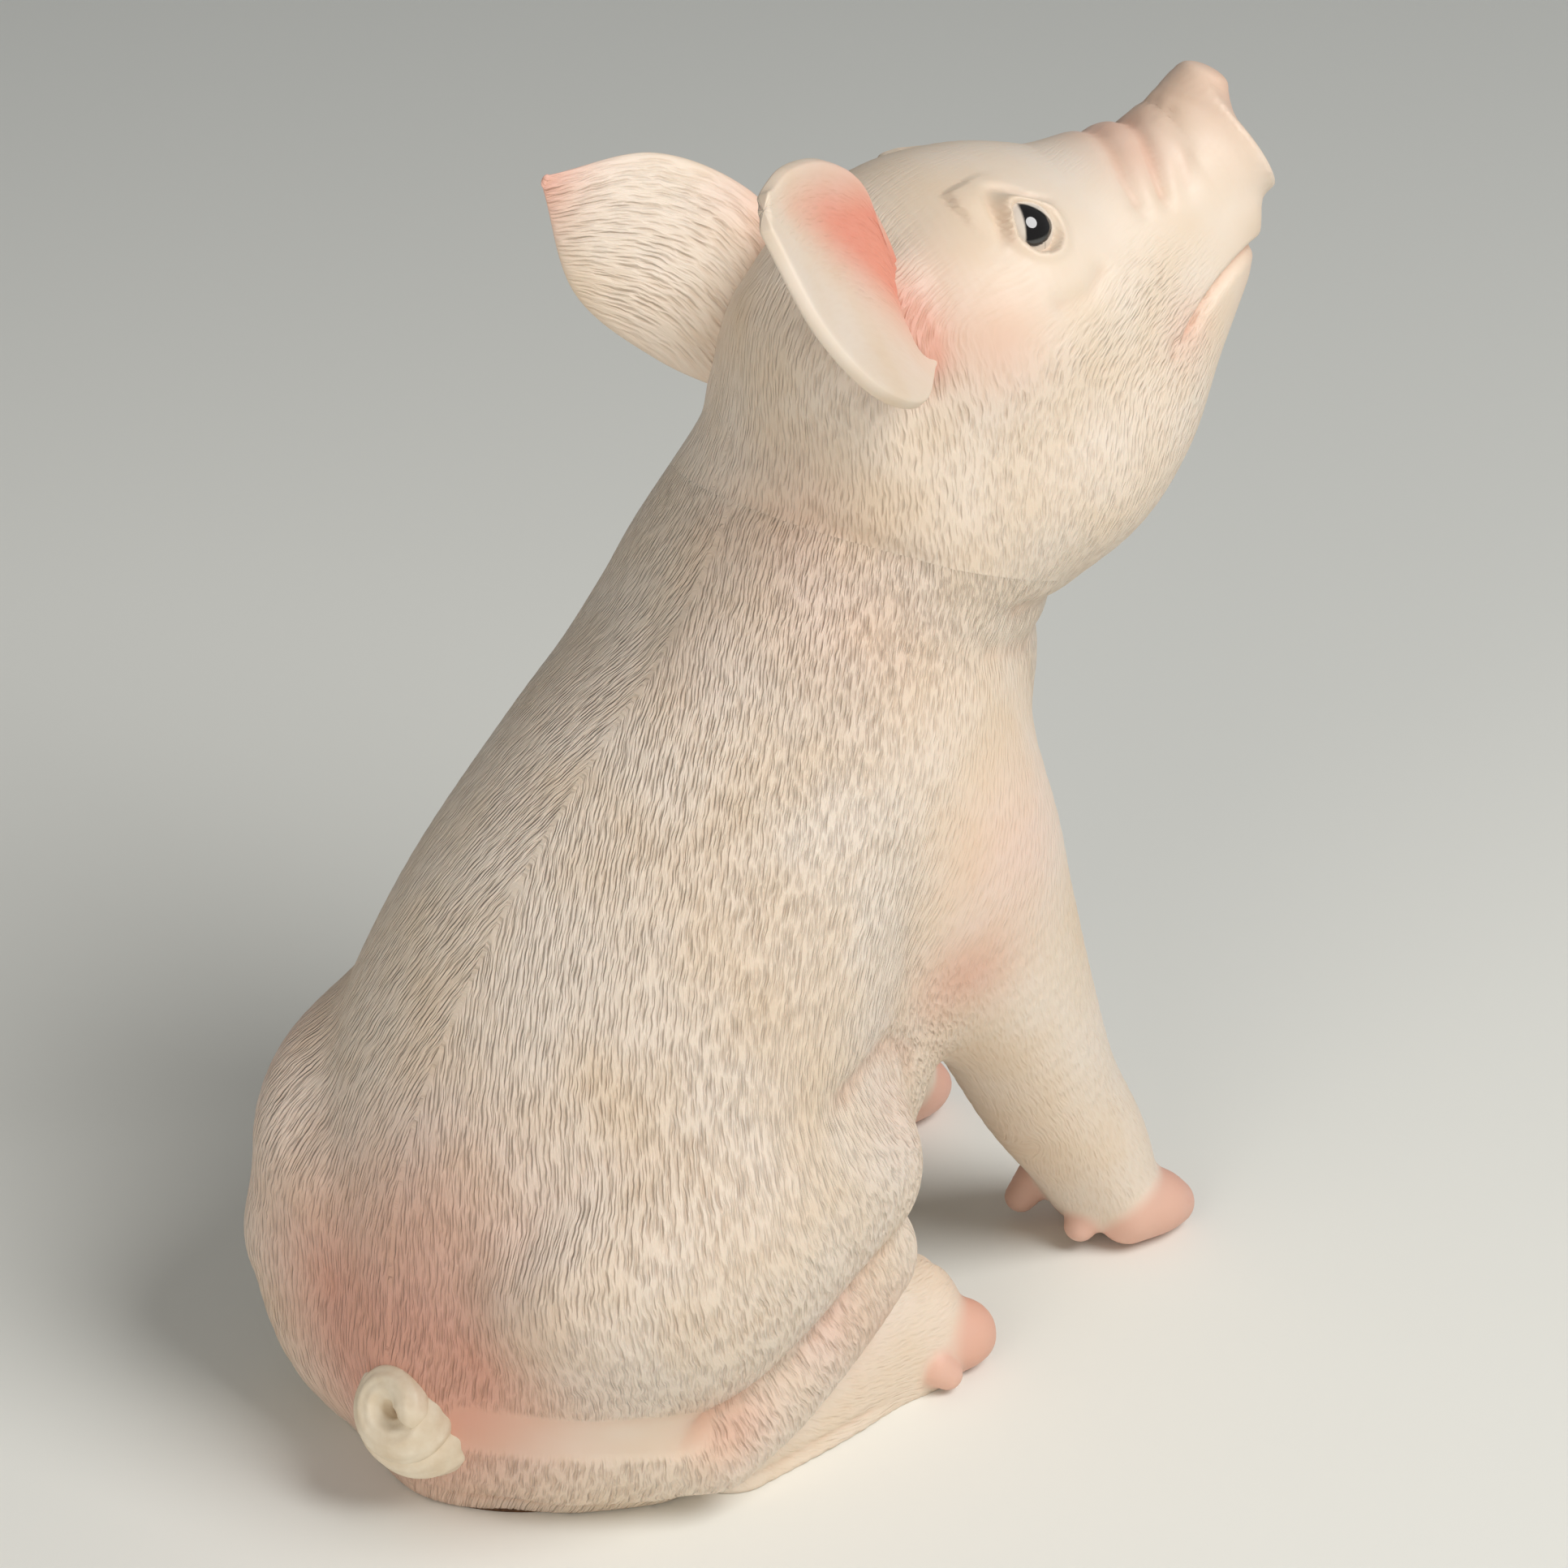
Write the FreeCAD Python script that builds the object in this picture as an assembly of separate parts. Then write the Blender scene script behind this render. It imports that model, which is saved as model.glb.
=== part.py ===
import FreeCAD, Part
import math
import os

from FreeCAD import Vector

# A sitting piglet ornament, cast in resin and painted by hand. It faces -Y, its left side is +X and
# it sits on z = 0. The body is a hollow casting, closed below by a plate under a thin felt sheet.
# The head, ears, forelegs, hind feet and tail are castings of their own, set in sockets and pinned.

# Trunk, from the seat to the neck fold
trunk_height = 126.0
trunk_reach = 54.0
trunk_width = 82.0
trunk_depth = 83.0
neck_width = 50.0

# Haunches, swelling out of the lower half of the trunk
haunch_spread = 34.5
haunch_reach = 76.0
haunch_height = 31.0
haunch_width = 33.0
haunch_depth = 56.0

# Head, carried on the plane through the neck fold and turned to the right
head_offset = -6.0
head_yaw = 22.0
head_pitch = 23.0
head_roll = 10.0
skull_length = 52.0
skull_width = 54.0
skull_depth = 65.0
snout_disc_reach = 56.5
snout_disc_lift = 4.0
snout_disc_width = 25.0
snout_disc_height = 21.5
snout_disc_thickness = 3.2

# Forelegs, jointed above the elbow
foreleg_height = 98.0
foreleg_reach = 58.0
foreleg_spread = 22.5
foreleg_width = 30.0
foreleg_depth = 36.0
foreleg_joint_height = 57.0

# Hind feet, each with the shank above it
hind_foot_spread = 27.0
hind_foot_reach = 33.0
hind_foot_width = 19.0
hind_foot_height = 17.0
shank_reach = 24.0
shank_height = 21.0
shank_width = 18.0

# Hooves and dewclaws, the same on all four feet
hoof_length = 11.0
hoof_width = 9.6
hoof_height = 10.4
hoof_splay = 12.0
dewclaw_length = 5.0
dewclaw_width = 5.2

# Ears
ear_thickness = 3.4
ear_right_reach = 42.0
ear_right_rise = 40.0
ear_right_spread = 24.0
ear_left_reach = 31.0
ear_left_rise = 33.0
ear_left_spread = 24.0

# Tail, a two-turn curl with a hole down its middle
tail_width = 15.5
tail_rise = 10.0
tail_hole_width = 3.0
tail_lift = 15.5
tail_stem_length = 3.0
tail_stem_width = 6.0

# Eyes
eye_diameter = 9.0

# Shell, base and fits
wall = 6.0
felt_thickness = 1.2
felt_margin = 1.6
plate_thickness = 3.0
plate_ledge = 2.5
base_rim = 8.0
glue_gap = 0.15
pin_gap = 0.05
spigot_length = 6.0
spigot_margin = 8.0
dowel_diameter = 8.0
dowel_length = 34.0
leg_tenon_diameter = 10.0
leg_tenon_length = 6.0
leg_pin_diameter = 2.5
leg_pin_length = 26.0
foot_pin_diameter = 2.5
foot_pin_length = 16.0
ear_pin_diameter = 1.6
ear_pin_length = 12.0

# Points that each section curve passes through
ellipse_points = 16

# The neck plane runs from the nape to the throat, and the head sits over it: shares of the trunk's
# reach and height
nape_shares = (-0.13, 1.087)
throat_shares = (0.963, 0.905)
head_shares = (0.556, 1.167)
# The head's neck rises this far towards the middle of the head and narrows to this width and depth
neck_core_shares = (0.7, 0.44, 0.8)
# The cavity stops at the last station under this share of the trunk's height
cavity_share = 0.7
# Places in the head, as shares of the skull's width, length and depth
eye_shares = (0.287, 0.423, 0.20)
ear_right_root_shares = (-0.34, -0.075, 0.248)
ear_left_root_shares = (0.268, -0.122, 0.149)
# The snout ends at this share of the disc's size
snout_end_share = 0.42
# Each half hoof: how far ahead, how wide and how high it is
hoof_station_shares = ((0.0, 0.5, 0.5), (0.5, 0.46, 0.42), (0.8, 0.34, 0.30))
# A dewclaw's tip, back and down as shares of its length, and its half width there
dewclaw_tip_shares = (0.4, 0.55, 0.4)
# Dewclaws stand this share of a hoof's width to each side, at these shares of the ankle's height
dewclaw_side_share = 0.66
foreleg_claw_share = 0.45
hind_foot_claw_share = 0.3
# How far the tail's curl is sunk into the rump
tail_sink_share = 0.2
# The curl's outline: the widths of its two turns, then the arcs between them, as shares of radius and rise
tail_turn_shares = (0.5, 0.36)
tail_lower_shares = (-0.12, 0.18, 0.97, 0.42, 0.80, 0.56)
tail_upper_shares = (1.5, 0.92, 0.3, 0.95, 0.8)

# Stations are shares of the reach, height, width and depth of the mass that they shape
trunk_station_shares = (
    (-0.574, 0.0, 0.305, 0.373),
    (-0.537, 0.07, 0.402, 0.416),
    (-0.49, 0.16, 0.463, 0.44),
    (-0.444, 0.254, 0.488, 0.47),
    (-0.333, 0.349, 0.50, 0.50),
    (-0.148, 0.492, 0.476, 0.482),
    (0.093, 0.651, 0.439, 0.446),
    (0.306, 0.786, 0.402, 0.41),
    (0.407, 0.897, 0.341, 0.38),
)
haunch_station_shares = (
    (-0.487, 0.80, 0.47, 0.43),
    (-0.38, 0.90, 0.50, 0.49),
    (-0.237, 1.00, 0.44, 0.45),
    (-0.132, 1.04, 0.375, 0.33),
)
skull_station_shares = (
    (-0.154, -0.115, 0.44, 0.438),
    (0.077, -0.10, 0.50, 0.50),
    (0.27, -0.108, 0.48, 0.492),
    (0.48, -0.108, 0.39, 0.40),
    (0.69, -0.062, 0.296, 0.31),
    (0.885, -0.015, 0.22, 0.215),
)
foreleg_station_shares = (
    (0.24, 1.00, 0.47, 0.50),
    (0.34, 0.84, 0.50, 0.50),
    (0.48, 0.66, 0.43, 0.43),
    (0.64, 0.49, 0.38, 0.35),
    (0.79, 0.32, 0.35, 0.305),
    (0.93, 0.18, 0.33, 0.265),
    (1.00, 0.10, 0.33, 0.22),
)
hind_foot_station_shares = (
    (0.93, -0.73, 0.38, 0.39, 0.42),
    (0.96, -0.36, 0.47, 0.45, 0.46),
    (1.00, 0.00, 0.53, 0.50, 0.50),
    (1.03, 0.27, 0.50, 0.50, 0.47),
)
shank_station_shares = (
    (1.00, -0.08, 1.00, 0.42, 0.46),
    (0.99, -0.50, 0.68, 0.45, 0.50),
    (0.94, -0.96, 0.42, 0.42, 0.42),
)
# The tail's curl points back, up and a little to the right
tail_axis_shares = (-0.30, 0.88, 0.36)
# A round end is drawn in at these shares of its length to these shares of its size
round_end_shares = ((0.45, 0.89), (0.80, 0.60), (0.96, 0.28))

# Ear rims from root to tip, as shares of how far the ear spreads, reaches and rises from its root:
# the front rim, the hollow and the back rim of each row
ear_right_row_shares = (
    ((0.05, 0.05, 0.10), (0.22, -0.08, -0.10), (0.42, -0.20, -0.20)),
    ((0.20, -0.21, 0.42), (0.36, -0.38, 0.15), (0.80, -0.46, -0.05)),
    ((0.38, -0.54, 0.70), (0.48, -0.70, 0.45), (0.92, -0.78, 0.32)),
    ((0.55, -0.88, 0.88), (0.62, -0.94, 0.80), (0.78, -0.98, 0.70)),
)
ear_left_row_shares = (
    ((-0.05, 0.12, 0.15), (0.02, -0.08, -0.08), (0.02, -0.25, -0.33)),
    ((0.32, 0.02, 0.45), (0.36, -0.30, 0.18), (0.48, -0.48, -0.18)),
    ((0.66, -0.30, 0.62), (0.70, -0.60, 0.38), (0.82, -0.74, 0.10)),
    ((0.92, -0.72, 0.70), (0.94, -0.82, 0.60), (0.96, -0.90, 0.52)),
)


def place(x, reach, height):
    """A point by its place to the left, its reach forward and its height."""
    return Vector(x, -reach, height)


def head_axes():
    """The head's own left, back and up directions."""
    yaw, pitch, roll = (math.radians(angle) for angle in (head_yaw, head_pitch, head_roll))
    ahead = Vector(-math.sin(yaw) * math.cos(pitch), -math.cos(yaw) * math.cos(pitch), math.sin(pitch))
    level_left = Vector(math.cos(yaw), -math.sin(yaw), 0)
    level_up = level_left.cross(ahead) * -1
    left = level_left * math.cos(roll) - level_up * math.sin(roll)
    up = level_up * math.cos(roll) + level_left * math.sin(roll)
    return left, ahead * -1, up


head_left, head_back, head_up = head_axes()
head_centre = place(head_offset, head_shares[0] * trunk_reach, head_shares[1] * trunk_height)
nape = place(0, nape_shares[0] * trunk_reach, nape_shares[1] * trunk_height)
throat = place(0, throat_shares[0] * trunk_reach, throat_shares[1] * trunk_height)
neck_centre = (nape + throat) * 0.5
neck_half_depth = (nape - throat).Length / 2
neck_up = Vector(1, 0, 0).cross(nape - throat).normalize()
floor_up = Vector(0, 0, 1)
overrun = 2 * trunk_height


def in_head(x, reach, height):
    """A place given in the head's own frame, carried to where the head sits."""
    return head_centre + head_left * x - head_back * reach + head_up * height


def on_skull(shares, side=1):
    """A place given as shares of the skull's width, length and depth."""
    x, reach, height = shares
    return in_head(side * x * skull_width, reach * skull_length, height * skull_depth)


def ellipse(centre, across, up, half_width, half_height):
    """A smooth closed curve through points of an ellipse with its axes along across and up."""
    points = []
    for index in range(ellipse_points):
        turn = 2 * math.pi * index / ellipse_points
        points.append(centre + up * (half_height * math.cos(turn)) - across * (half_width * math.sin(turn)))
    curve = Part.BSplineCurve()
    curve.interpolate(points, PeriodicFlag=True)
    return Part.Wire([curve.toShape()])


def mass(stations, side, seam=1, first_along=None, last_along=None, round_first=True, round_last=True):
    """A swelling solid through ellipses square to a path.

    A station is its centre, its half width and its half depth. A round end closes it like an egg,
    and a flat one lies square to the direction given for it.
    """
    centres = [station[0] for station in stations]
    wires = []
    for index, (centre, half_width, half_depth) in enumerate(stations):
        first, last = index == 0, index == len(stations) - 1
        along = centres[min(index + 1, len(centres) - 1)] - centres[max(index - 1, 0)]
        along = (first_along if first and first_along else last_along if last and last_along else along)
        along = Vector(along).normalize()
        across = (side - along * side.dot(along)).normalize()
        up = across.cross(along) * seam
        section = ellipse(centre, across, up, half_width, half_depth)
        ends = []
        if (first and round_first) or (last and round_last):
            reach = min(half_width, half_depth) * (-1 if first else 1)
            for out, size in round_end_shares:
                ends.append(ellipse(centre + along * (reach * out), across, up, half_width * size, half_depth * size))
        wires += ends[::-1] + [section] if first else [section] + ends
    return Part.makeLoft(wires, True, False)


def path_mass(shares, offset, reach, height, width, depth, side=Vector(1, 0, 0), **ends):
    """A mass whose stations are shares of one reach, height, width and depth."""
    return mass([(place(offset, f * reach, u * height), w * width, d * depth) for f, u, w, d in shares], side, **ends)


def limb_mass(shares, offset, reach, height, width, depth, **ends):
    """A mass whose stations also move outward, as shares of one offset."""
    rows = [(place(x * offset, f * reach, u * height), w * width, d * depth) for x, f, u, w, d in shares]
    return mass(rows, Vector(1, 0, 0), **ends)


def rod(start, end, diameter):
    """A round rod from one point to another."""
    return Part.makeCylinder(diameter / 2, (end - start).Length, start, end - start)


def pin_through(middle, along, length, diameter):
    """A pin with its middle at a point, and the hole that it goes into."""
    half = Vector(along).normalize() * (length / 2)
    more = Vector(along).normalize() * glue_gap
    pin = rod(middle - half, middle + half, diameter)
    hole = rod(middle - half - more, middle + half + more, diameter + 2 * pin_gap)
    return pin, hole


def half_space(point, normal):
    """A large block on the side of a plane that its normal points to."""
    block = Part.makeBox(2 * overrun, 2 * overrun, overrun, Vector(-overrun, -overrun, 0))
    block.Placement = FreeCAD.Placement(point, FreeCAD.Rotation(floor_up, normal))
    return block


def largest(shape):
    """The biggest solid of a shape, which drops the slivers that a cut leaves."""
    return max(shape.Solids, key=lambda solid: solid.Volume)


def on_floor(shape, level=0.0):
    """The shape without what lies under a level."""
    return largest(shape.cut(half_space(Vector(0, 0, level), floor_up * -1)))


def upright_ellipse(centre, width, length, bottom, top):
    """An upright prism on an ellipse."""
    base = Vector(centre.x, centre.y, bottom)
    wire = ellipse(base, Vector(1, 0, 0), Vector(0, -1, 0), width / 2, length / 2)
    return Part.Face(wire).extrude(Vector(0, 0, top - bottom))


def hoof(root, heading):
    """One half of a cloven hoof, pointing ahead from its root and resting on the floor."""
    ahead = Vector(math.sin(heading), -math.cos(heading), 0)
    across = floor_up.cross(ahead)
    rows = []
    for out_share, width_share, height_share in hoof_station_shares:
        centre = root + ahead * (hoof_length * out_share)
        centre.z = hoof_height * height_share
        rows.append((centre, hoof_width * width_share, hoof_height * height_share))
    return mass(rows, across)


def dewclaw(root, ahead):
    """A small claw behind a hoof, pointing down and a little back."""
    back_share, down_share, width_share = dewclaw_tip_shares
    tip = root - ahead * (dewclaw_length * back_share) - floor_up * (dewclaw_length * down_share)
    tip_half = dewclaw_width * width_share
    return mass([(root, dewclaw_width / 2, dewclaw_width / 2), (tip, tip_half, tip_half)], Vector(1, 0, 0))


def foot_claws(ankle, toe_root, splay_sign):
    """The two hooves and two dewclaws of one foot."""
    ahead = Vector(toe_root.x - ankle.x, toe_root.y - ankle.y, 0).normalize()
    across = floor_up.cross(ahead)
    heading = math.atan2(ahead.x, -ahead.y)
    claws = []
    for side in (-1, 1):
        turn = heading + math.radians(hoof_splay) * side * splay_sign
        claws.append(hoof(toe_root + across * (side * hoof_width / 2), turn))
        claws.append(dewclaw(ankle + across * (side * hoof_width * dewclaw_side_share), ahead))
    return claws


def make_trunk(inset):
    """The trunk's outer form, or its cavity when it is drawn in by a wall."""
    rows = []
    for f, u, w, d in trunk_station_shares:
        if inset and u > cavity_share:
            break
        rows.append((place(0, f * trunk_reach, u * trunk_height), w * trunk_width - inset, d * trunk_depth - inset))
    if inset:
        return mass(rows, Vector(1, 0, 0), round_first=False, first_along=floor_up)
    rows.append((neck_centre, neck_width / 2, neck_half_depth))
    return mass(rows, Vector(1, 0, 0), round_first=False, round_last=False, first_along=floor_up, last_along=neck_up)


def at_height(rows, height):
    """The place where a falling path passes a height, and the direction back up the path there."""
    upper, lower = min(zip(rows, rows[1:]), key=lambda pair: abs((pair[0].z + pair[1].z) / 2 - height))
    step = upper - lower
    return lower + step * ((height - lower.z) / step.z), step.normalize()


def back_of_trunk(height):
    """The place on the middle of the trunk's back at a height near the seat."""
    rows = [(u * trunk_height, f * trunk_reach - d * trunk_depth) for f, u, w, d in trunk_station_shares]
    for (low, low_back), (high, high_back) in zip(rows, rows[1:]):
        if low <= height <= high:
            share = (height - low) / (high - low)
            return place(0, low_back + (high_back - low_back) * share, height)
    return place(0, rows[0][1], height)


def make_haunch(sign):
    """The thigh that swells out of the trunk on one side."""
    return path_mass(haunch_station_shares, sign * haunch_spread, haunch_reach, haunch_height,
                     haunch_width, haunch_depth)


def make_skull():
    """The head from the back of the skull to the snout, with the neck that it stands on."""
    rows = []
    for f, u, w, d in skull_station_shares:
        rows.append((in_head(0, f * skull_length, u * skull_depth), w * skull_width, d * skull_depth))
    rows.append((in_head(0, snout_disc_reach, snout_disc_lift), snout_end_share * snout_disc_width,
                 snout_end_share * snout_disc_height))
    skull = mass(rows, head_left, seam=-1, round_last=False)
    rise, width_share, depth_share = neck_core_shares
    core = neck_centre + (head_centre - neck_centre) * rise
    rows = [(neck_centre, neck_width / 2, neck_half_depth),
            (core, neck_width * width_share, neck_half_depth * depth_share)]
    neck = mass(rows, Vector(1, 0, 0), round_first=False, first_along=neck_up, last_along=neck_up)
    disc_start = in_head(0, snout_disc_reach - snout_disc_thickness / 2, snout_disc_lift)
    disc_end = in_head(0, snout_disc_reach + snout_disc_thickness / 2, snout_disc_lift)
    disc = Part.Face(ellipse(disc_start, head_left, head_up, snout_disc_width / 2, snout_disc_height / 2))
    disc = disc.extrude(disc_end - disc_start)
    return largest(skull.cut(half_space(neck_centre, neck_up * -1))).fuse(neck).fuse(disc)


def make_ear(row_shares, root, spread, reach, rise, sign):
    """A cupped leaf lofted from root to tip through curved slips of even thickness."""
    wires = []
    for row in row_shares:
        front, hollow, back = (root + place(sign * x * spread, f * reach, u * rise) for x, f, u in row)
        chord = (back - front).normalize()
        bow = hollow - (front + back) * 0.5
        inward = (bow - chord * bow.dot(chord)).normalize()
        offset = inward * ear_thickness
        outer = Part.Arc(front + offset, hollow + offset, back + offset).toShape()
        inner = Part.Arc(front, hollow, back).toShape()
        wires.append(Part.Wire([
            inner,
            Part.LineSegment(back, back + offset).toShape(),
            outer,
            Part.LineSegment(front + offset, front).toShape(),
        ]))
    return Part.makeLoft(wires, True, False)


def make_tail(base, axis):
    """A curl of two stacked turns round a hole, turned about its axis, on a short stem."""
    radius, hole = tail_width / 2, tail_hole_width / 2
    lower, upper = (share * (radius - hole) for share in tail_turn_shares)
    under, rim, waist, waist_rise, fold, fold_rise = tail_lower_shares
    crown, crown_rise, inner, inner_rise, hole_rise = tail_upper_shares
    foot = Vector(hole, 0, 0)
    outer = Vector(radius, 0, rim * tail_rise)
    step = Vector(fold * radius, 0, fold_rise * tail_rise)
    top = Vector(hole + upper, 0, tail_rise)
    mouth = Vector(hole, 0, hole_rise * tail_rise)
    edges = [
        Part.Arc(foot, Vector(hole + lower, 0, under * tail_rise), outer).toShape(),
        Part.Arc(outer, Vector(waist * radius, 0, waist_rise * tail_rise), step).toShape(),
        Part.Arc(step, Vector(hole + crown * upper, 0, crown_rise * tail_rise), top).toShape(),
        Part.Arc(top, Vector(hole + inner * upper, 0, inner_rise * tail_rise), mouth).toShape(),
        Part.LineSegment(mouth, foot).toShape(),
    ]
    curl = Part.Face(Part.Wire(edges)).revolve(Vector(0, 0, 0), floor_up, 360)
    curl.Placement = FreeCAD.Placement(base, FreeCAD.Rotation(floor_up, axis))
    return curl


pieces = {}
floor_level = felt_thickness

# Limbs, cut at their joints
body = make_trunk(0)
leg_parts = {}
for name, sign in (("left", 1), ("right", -1)):
    leg = path_mass(foreleg_station_shares, sign * foreleg_spread, foreleg_reach, foreleg_height,
                    foreleg_width, foreleg_depth)
    path = [place(sign * foreleg_spread, f * foreleg_reach, u * foreleg_height) for f, u, w, d in foreleg_station_shares]
    joint, along = at_height(path, foreleg_joint_height)
    body = body.fuse(make_haunch(sign)).fuse(leg.common(half_space(joint, along)))
    ankle, toe_root = path[-2:]
    claws = foot_claws(Vector(ankle.x, ankle.y, ankle.z * foreleg_claw_share), Vector(toe_root.x, toe_root.y, 0), sign)
    lower_leg = largest(leg.common(half_space(joint, along * -1)))
    for claw in claws:
        lower_leg = lower_leg.fuse(claw)
    leg_parts[name] = (on_floor(lower_leg), joint, along)
body = on_floor(largest(body), floor_level)

# Hind feet, seated under the haunches
feet = {}
for name, sign in (("left", 1), ("right", -1)):
    foot = limb_mass(hind_foot_station_shares, sign * hind_foot_spread, hind_foot_reach, hind_foot_height,
                     hind_foot_width, hind_foot_height)
    shank = limb_mass(shank_station_shares, sign * hind_foot_spread, shank_reach, shank_height,
                      shank_width, shank_width)
    toe_spread, toe_reach = hind_foot_station_shares[-1][:2]
    toe_root = place(sign * hind_foot_spread * toe_spread, hind_foot_reach * toe_reach, 0)
    ankle = place(sign * hind_foot_spread, 0, hind_foot_height * hind_foot_claw_share)
    foot = foot.fuse(shank)
    for claw in foot_claws(ankle, toe_root, sign):
        foot = foot.fuse(claw)
    feet[name] = largest(on_floor(foot).cut(body))

# Body shell with its cavity, pour hole and sockets
seat = place(0, trunk_station_shares[0][0] * trunk_reach, 0)
seat_width = 2 * trunk_station_shares[0][2] * trunk_width
seat_length = 2 * trunk_station_shares[0][3] * trunk_depth
plate_top = floor_level + plate_thickness
ledge_inset = 2 * (base_rim - plate_ledge)
plate_inset = ledge_inset + 2 * glue_gap
felt_inset = 2 * felt_margin
body = body.cut(on_floor(make_trunk(wall), plate_top + wall))
body = body.cut(upright_ellipse(seat, seat_width - 2 * base_rim, seat_length - 2 * base_rim, 0, plate_top + 2 * wall))
body = body.cut(upright_ellipse(seat, seat_width - ledge_inset, seat_length - ledge_inset, 0, plate_top))
pieces["base_plate"] = upright_ellipse(seat, seat_width - plate_inset, seat_length - plate_inset,
                                       floor_level, plate_top)
felt = upright_ellipse(seat, seat_width - felt_inset, seat_length - felt_inset, 0, floor_level)
pieces["base_felt"] = largest(felt.cut(feet["left"]).cut(feet["right"]))

# Head, standing on the neck with a spigot and a dowel
head = make_skull()
spigot_width = neck_width / 2 - spigot_margin
spigot_depth = neck_half_depth - spigot_margin
spigot = Part.Face(ellipse(neck_centre, Vector(1, 0, 0), (throat - nape).normalize(), spigot_width, spigot_depth))
spigot = spigot.extrude(neck_up * -spigot_length)
socket = Part.Face(ellipse(neck_centre, Vector(1, 0, 0), (throat - nape).normalize(),
                           spigot_width + glue_gap, spigot_depth + glue_gap))
socket = socket.extrude(neck_up * -(spigot_length + glue_gap))
dowel, dowel_hole = pin_through(neck_centre, neck_up, dowel_length, dowel_diameter)
head = head.fuse(spigot).cut(dowel_hole)
body = body.cut(socket).cut(dowel_hole)
pieces["neck_dowel"] = dowel

# Eyes, set in round sockets
for name, sign in (("left", 1), ("right", -1)):
    centre = on_skull(eye_shares, sign)
    pieces["eye_" + name] = Part.makeSphere(eye_diameter / 2, centre)
    head = head.cut(Part.makeSphere(eye_diameter / 2 + pin_gap, centre))

# Ears, seated on the skull and pinned
ear_specs = (
    ("right", -1, ear_right_row_shares, ear_right_root_shares, ear_right_spread, ear_right_reach, ear_right_rise),
    ("left", 1, ear_left_row_shares, ear_left_root_shares, ear_left_spread, ear_left_reach, ear_left_rise),
)
head = largest(head)
ear_holes = []
for name, sign, row_shares, root_shares, spread, reach, rise in ear_specs:
    root = on_skull(root_shares)
    ear = make_ear(row_shares, root, spread, reach, rise, sign)
    root_hollow, next_hollow = (root + place(sign * x * spread, f * reach, u * rise)
                                for x, f, u in (row_shares[0][1], row_shares[1][1]))
    pin, hole = pin_through(root_hollow, next_hollow - root_hollow, ear_pin_length, ear_pin_diameter)
    pieces["ear_" + name] = largest(ear.cut(head).cut(hole))
    pieces["ear_pin_" + name] = pin
    ear_holes.append(hole)
for hole in ear_holes:
    head = head.cut(hole)

# Tail, glued into the rump by its stem
rump = back_of_trunk(tail_lift)
tail_axis = Vector(*tail_axis_shares).normalize()
tail_base = rump - tail_axis * (tail_rise * tail_sink_share)
stem = rod(tail_base - tail_axis * tail_stem_length, rump, tail_stem_width)
stem_hole = rod(tail_base - tail_axis * (tail_stem_length + glue_gap), rump + tail_axis * tail_stem_width,
                tail_stem_width + 2 * glue_gap)
tail = make_tail(tail_base, tail_axis).cut(body)
body = body.cut(stem_hole)
pieces["tail"] = tail.fuse(stem)

# Forelegs, tenoned and pinned into the shoulders
for name, (leg, joint, along) in leg_parts.items():
    tenon = rod(joint, joint + along * leg_tenon_length, leg_tenon_diameter)
    mortise = rod(joint, joint + along * (leg_tenon_length + glue_gap), leg_tenon_diameter + 2 * glue_gap)
    pin, hole = pin_through(joint + along * (leg_tenon_length / 2), along, leg_pin_length, leg_pin_diameter)
    pieces["foreleg_" + name] = largest(leg.cut(body)).fuse(tenon).cut(hole)
    pieces["foreleg_pin_" + name] = pin
    body = body.cut(mortise).cut(hole)

# Hind feet, pinned up into the haunches
for name, sign in (("left", 1), ("right", -1)):
    middle = place(sign * hind_foot_spread, hind_foot_station_shares[1][1] * hind_foot_reach,
                   foot_pin_length / 2 + wall)
    pin, hole = pin_through(middle, floor_up, foot_pin_length, foot_pin_diameter)
    pieces["hind_foot_" + name] = feet[name].cut(hole)
    pieces["hind_foot_pin_" + name] = pin
    body = body.cut(hole)

pieces["head"] = head
pieces["body_shell"] = largest(body)

# The origin is the middle of the whole figure's outline on the floor
boxes = [pieces[name].optimalBoundingBox() for name in ("body_shell", "tail", "head", "ear_left", "ear_right")]
middle_x = (min(box.XMin for box in boxes) + max(box.XMax for box in boxes)) / 2
middle_y = (min(box.YMin for box in boxes) + max(box.YMax for box in boxes)) / 2
print("origin", round(middle_x, 3), round(middle_y, 3))

os.makedirs("parts", exist_ok=True)
for name, shape in pieces.items():
    shape.translate(Vector(-middle_x, -middle_y, 0))
    print(name, shape.isValid(), len(shape.Solids), round(shape.Volume))
    shape.exportStep("parts/" + name + ".step")
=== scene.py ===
import math

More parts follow.
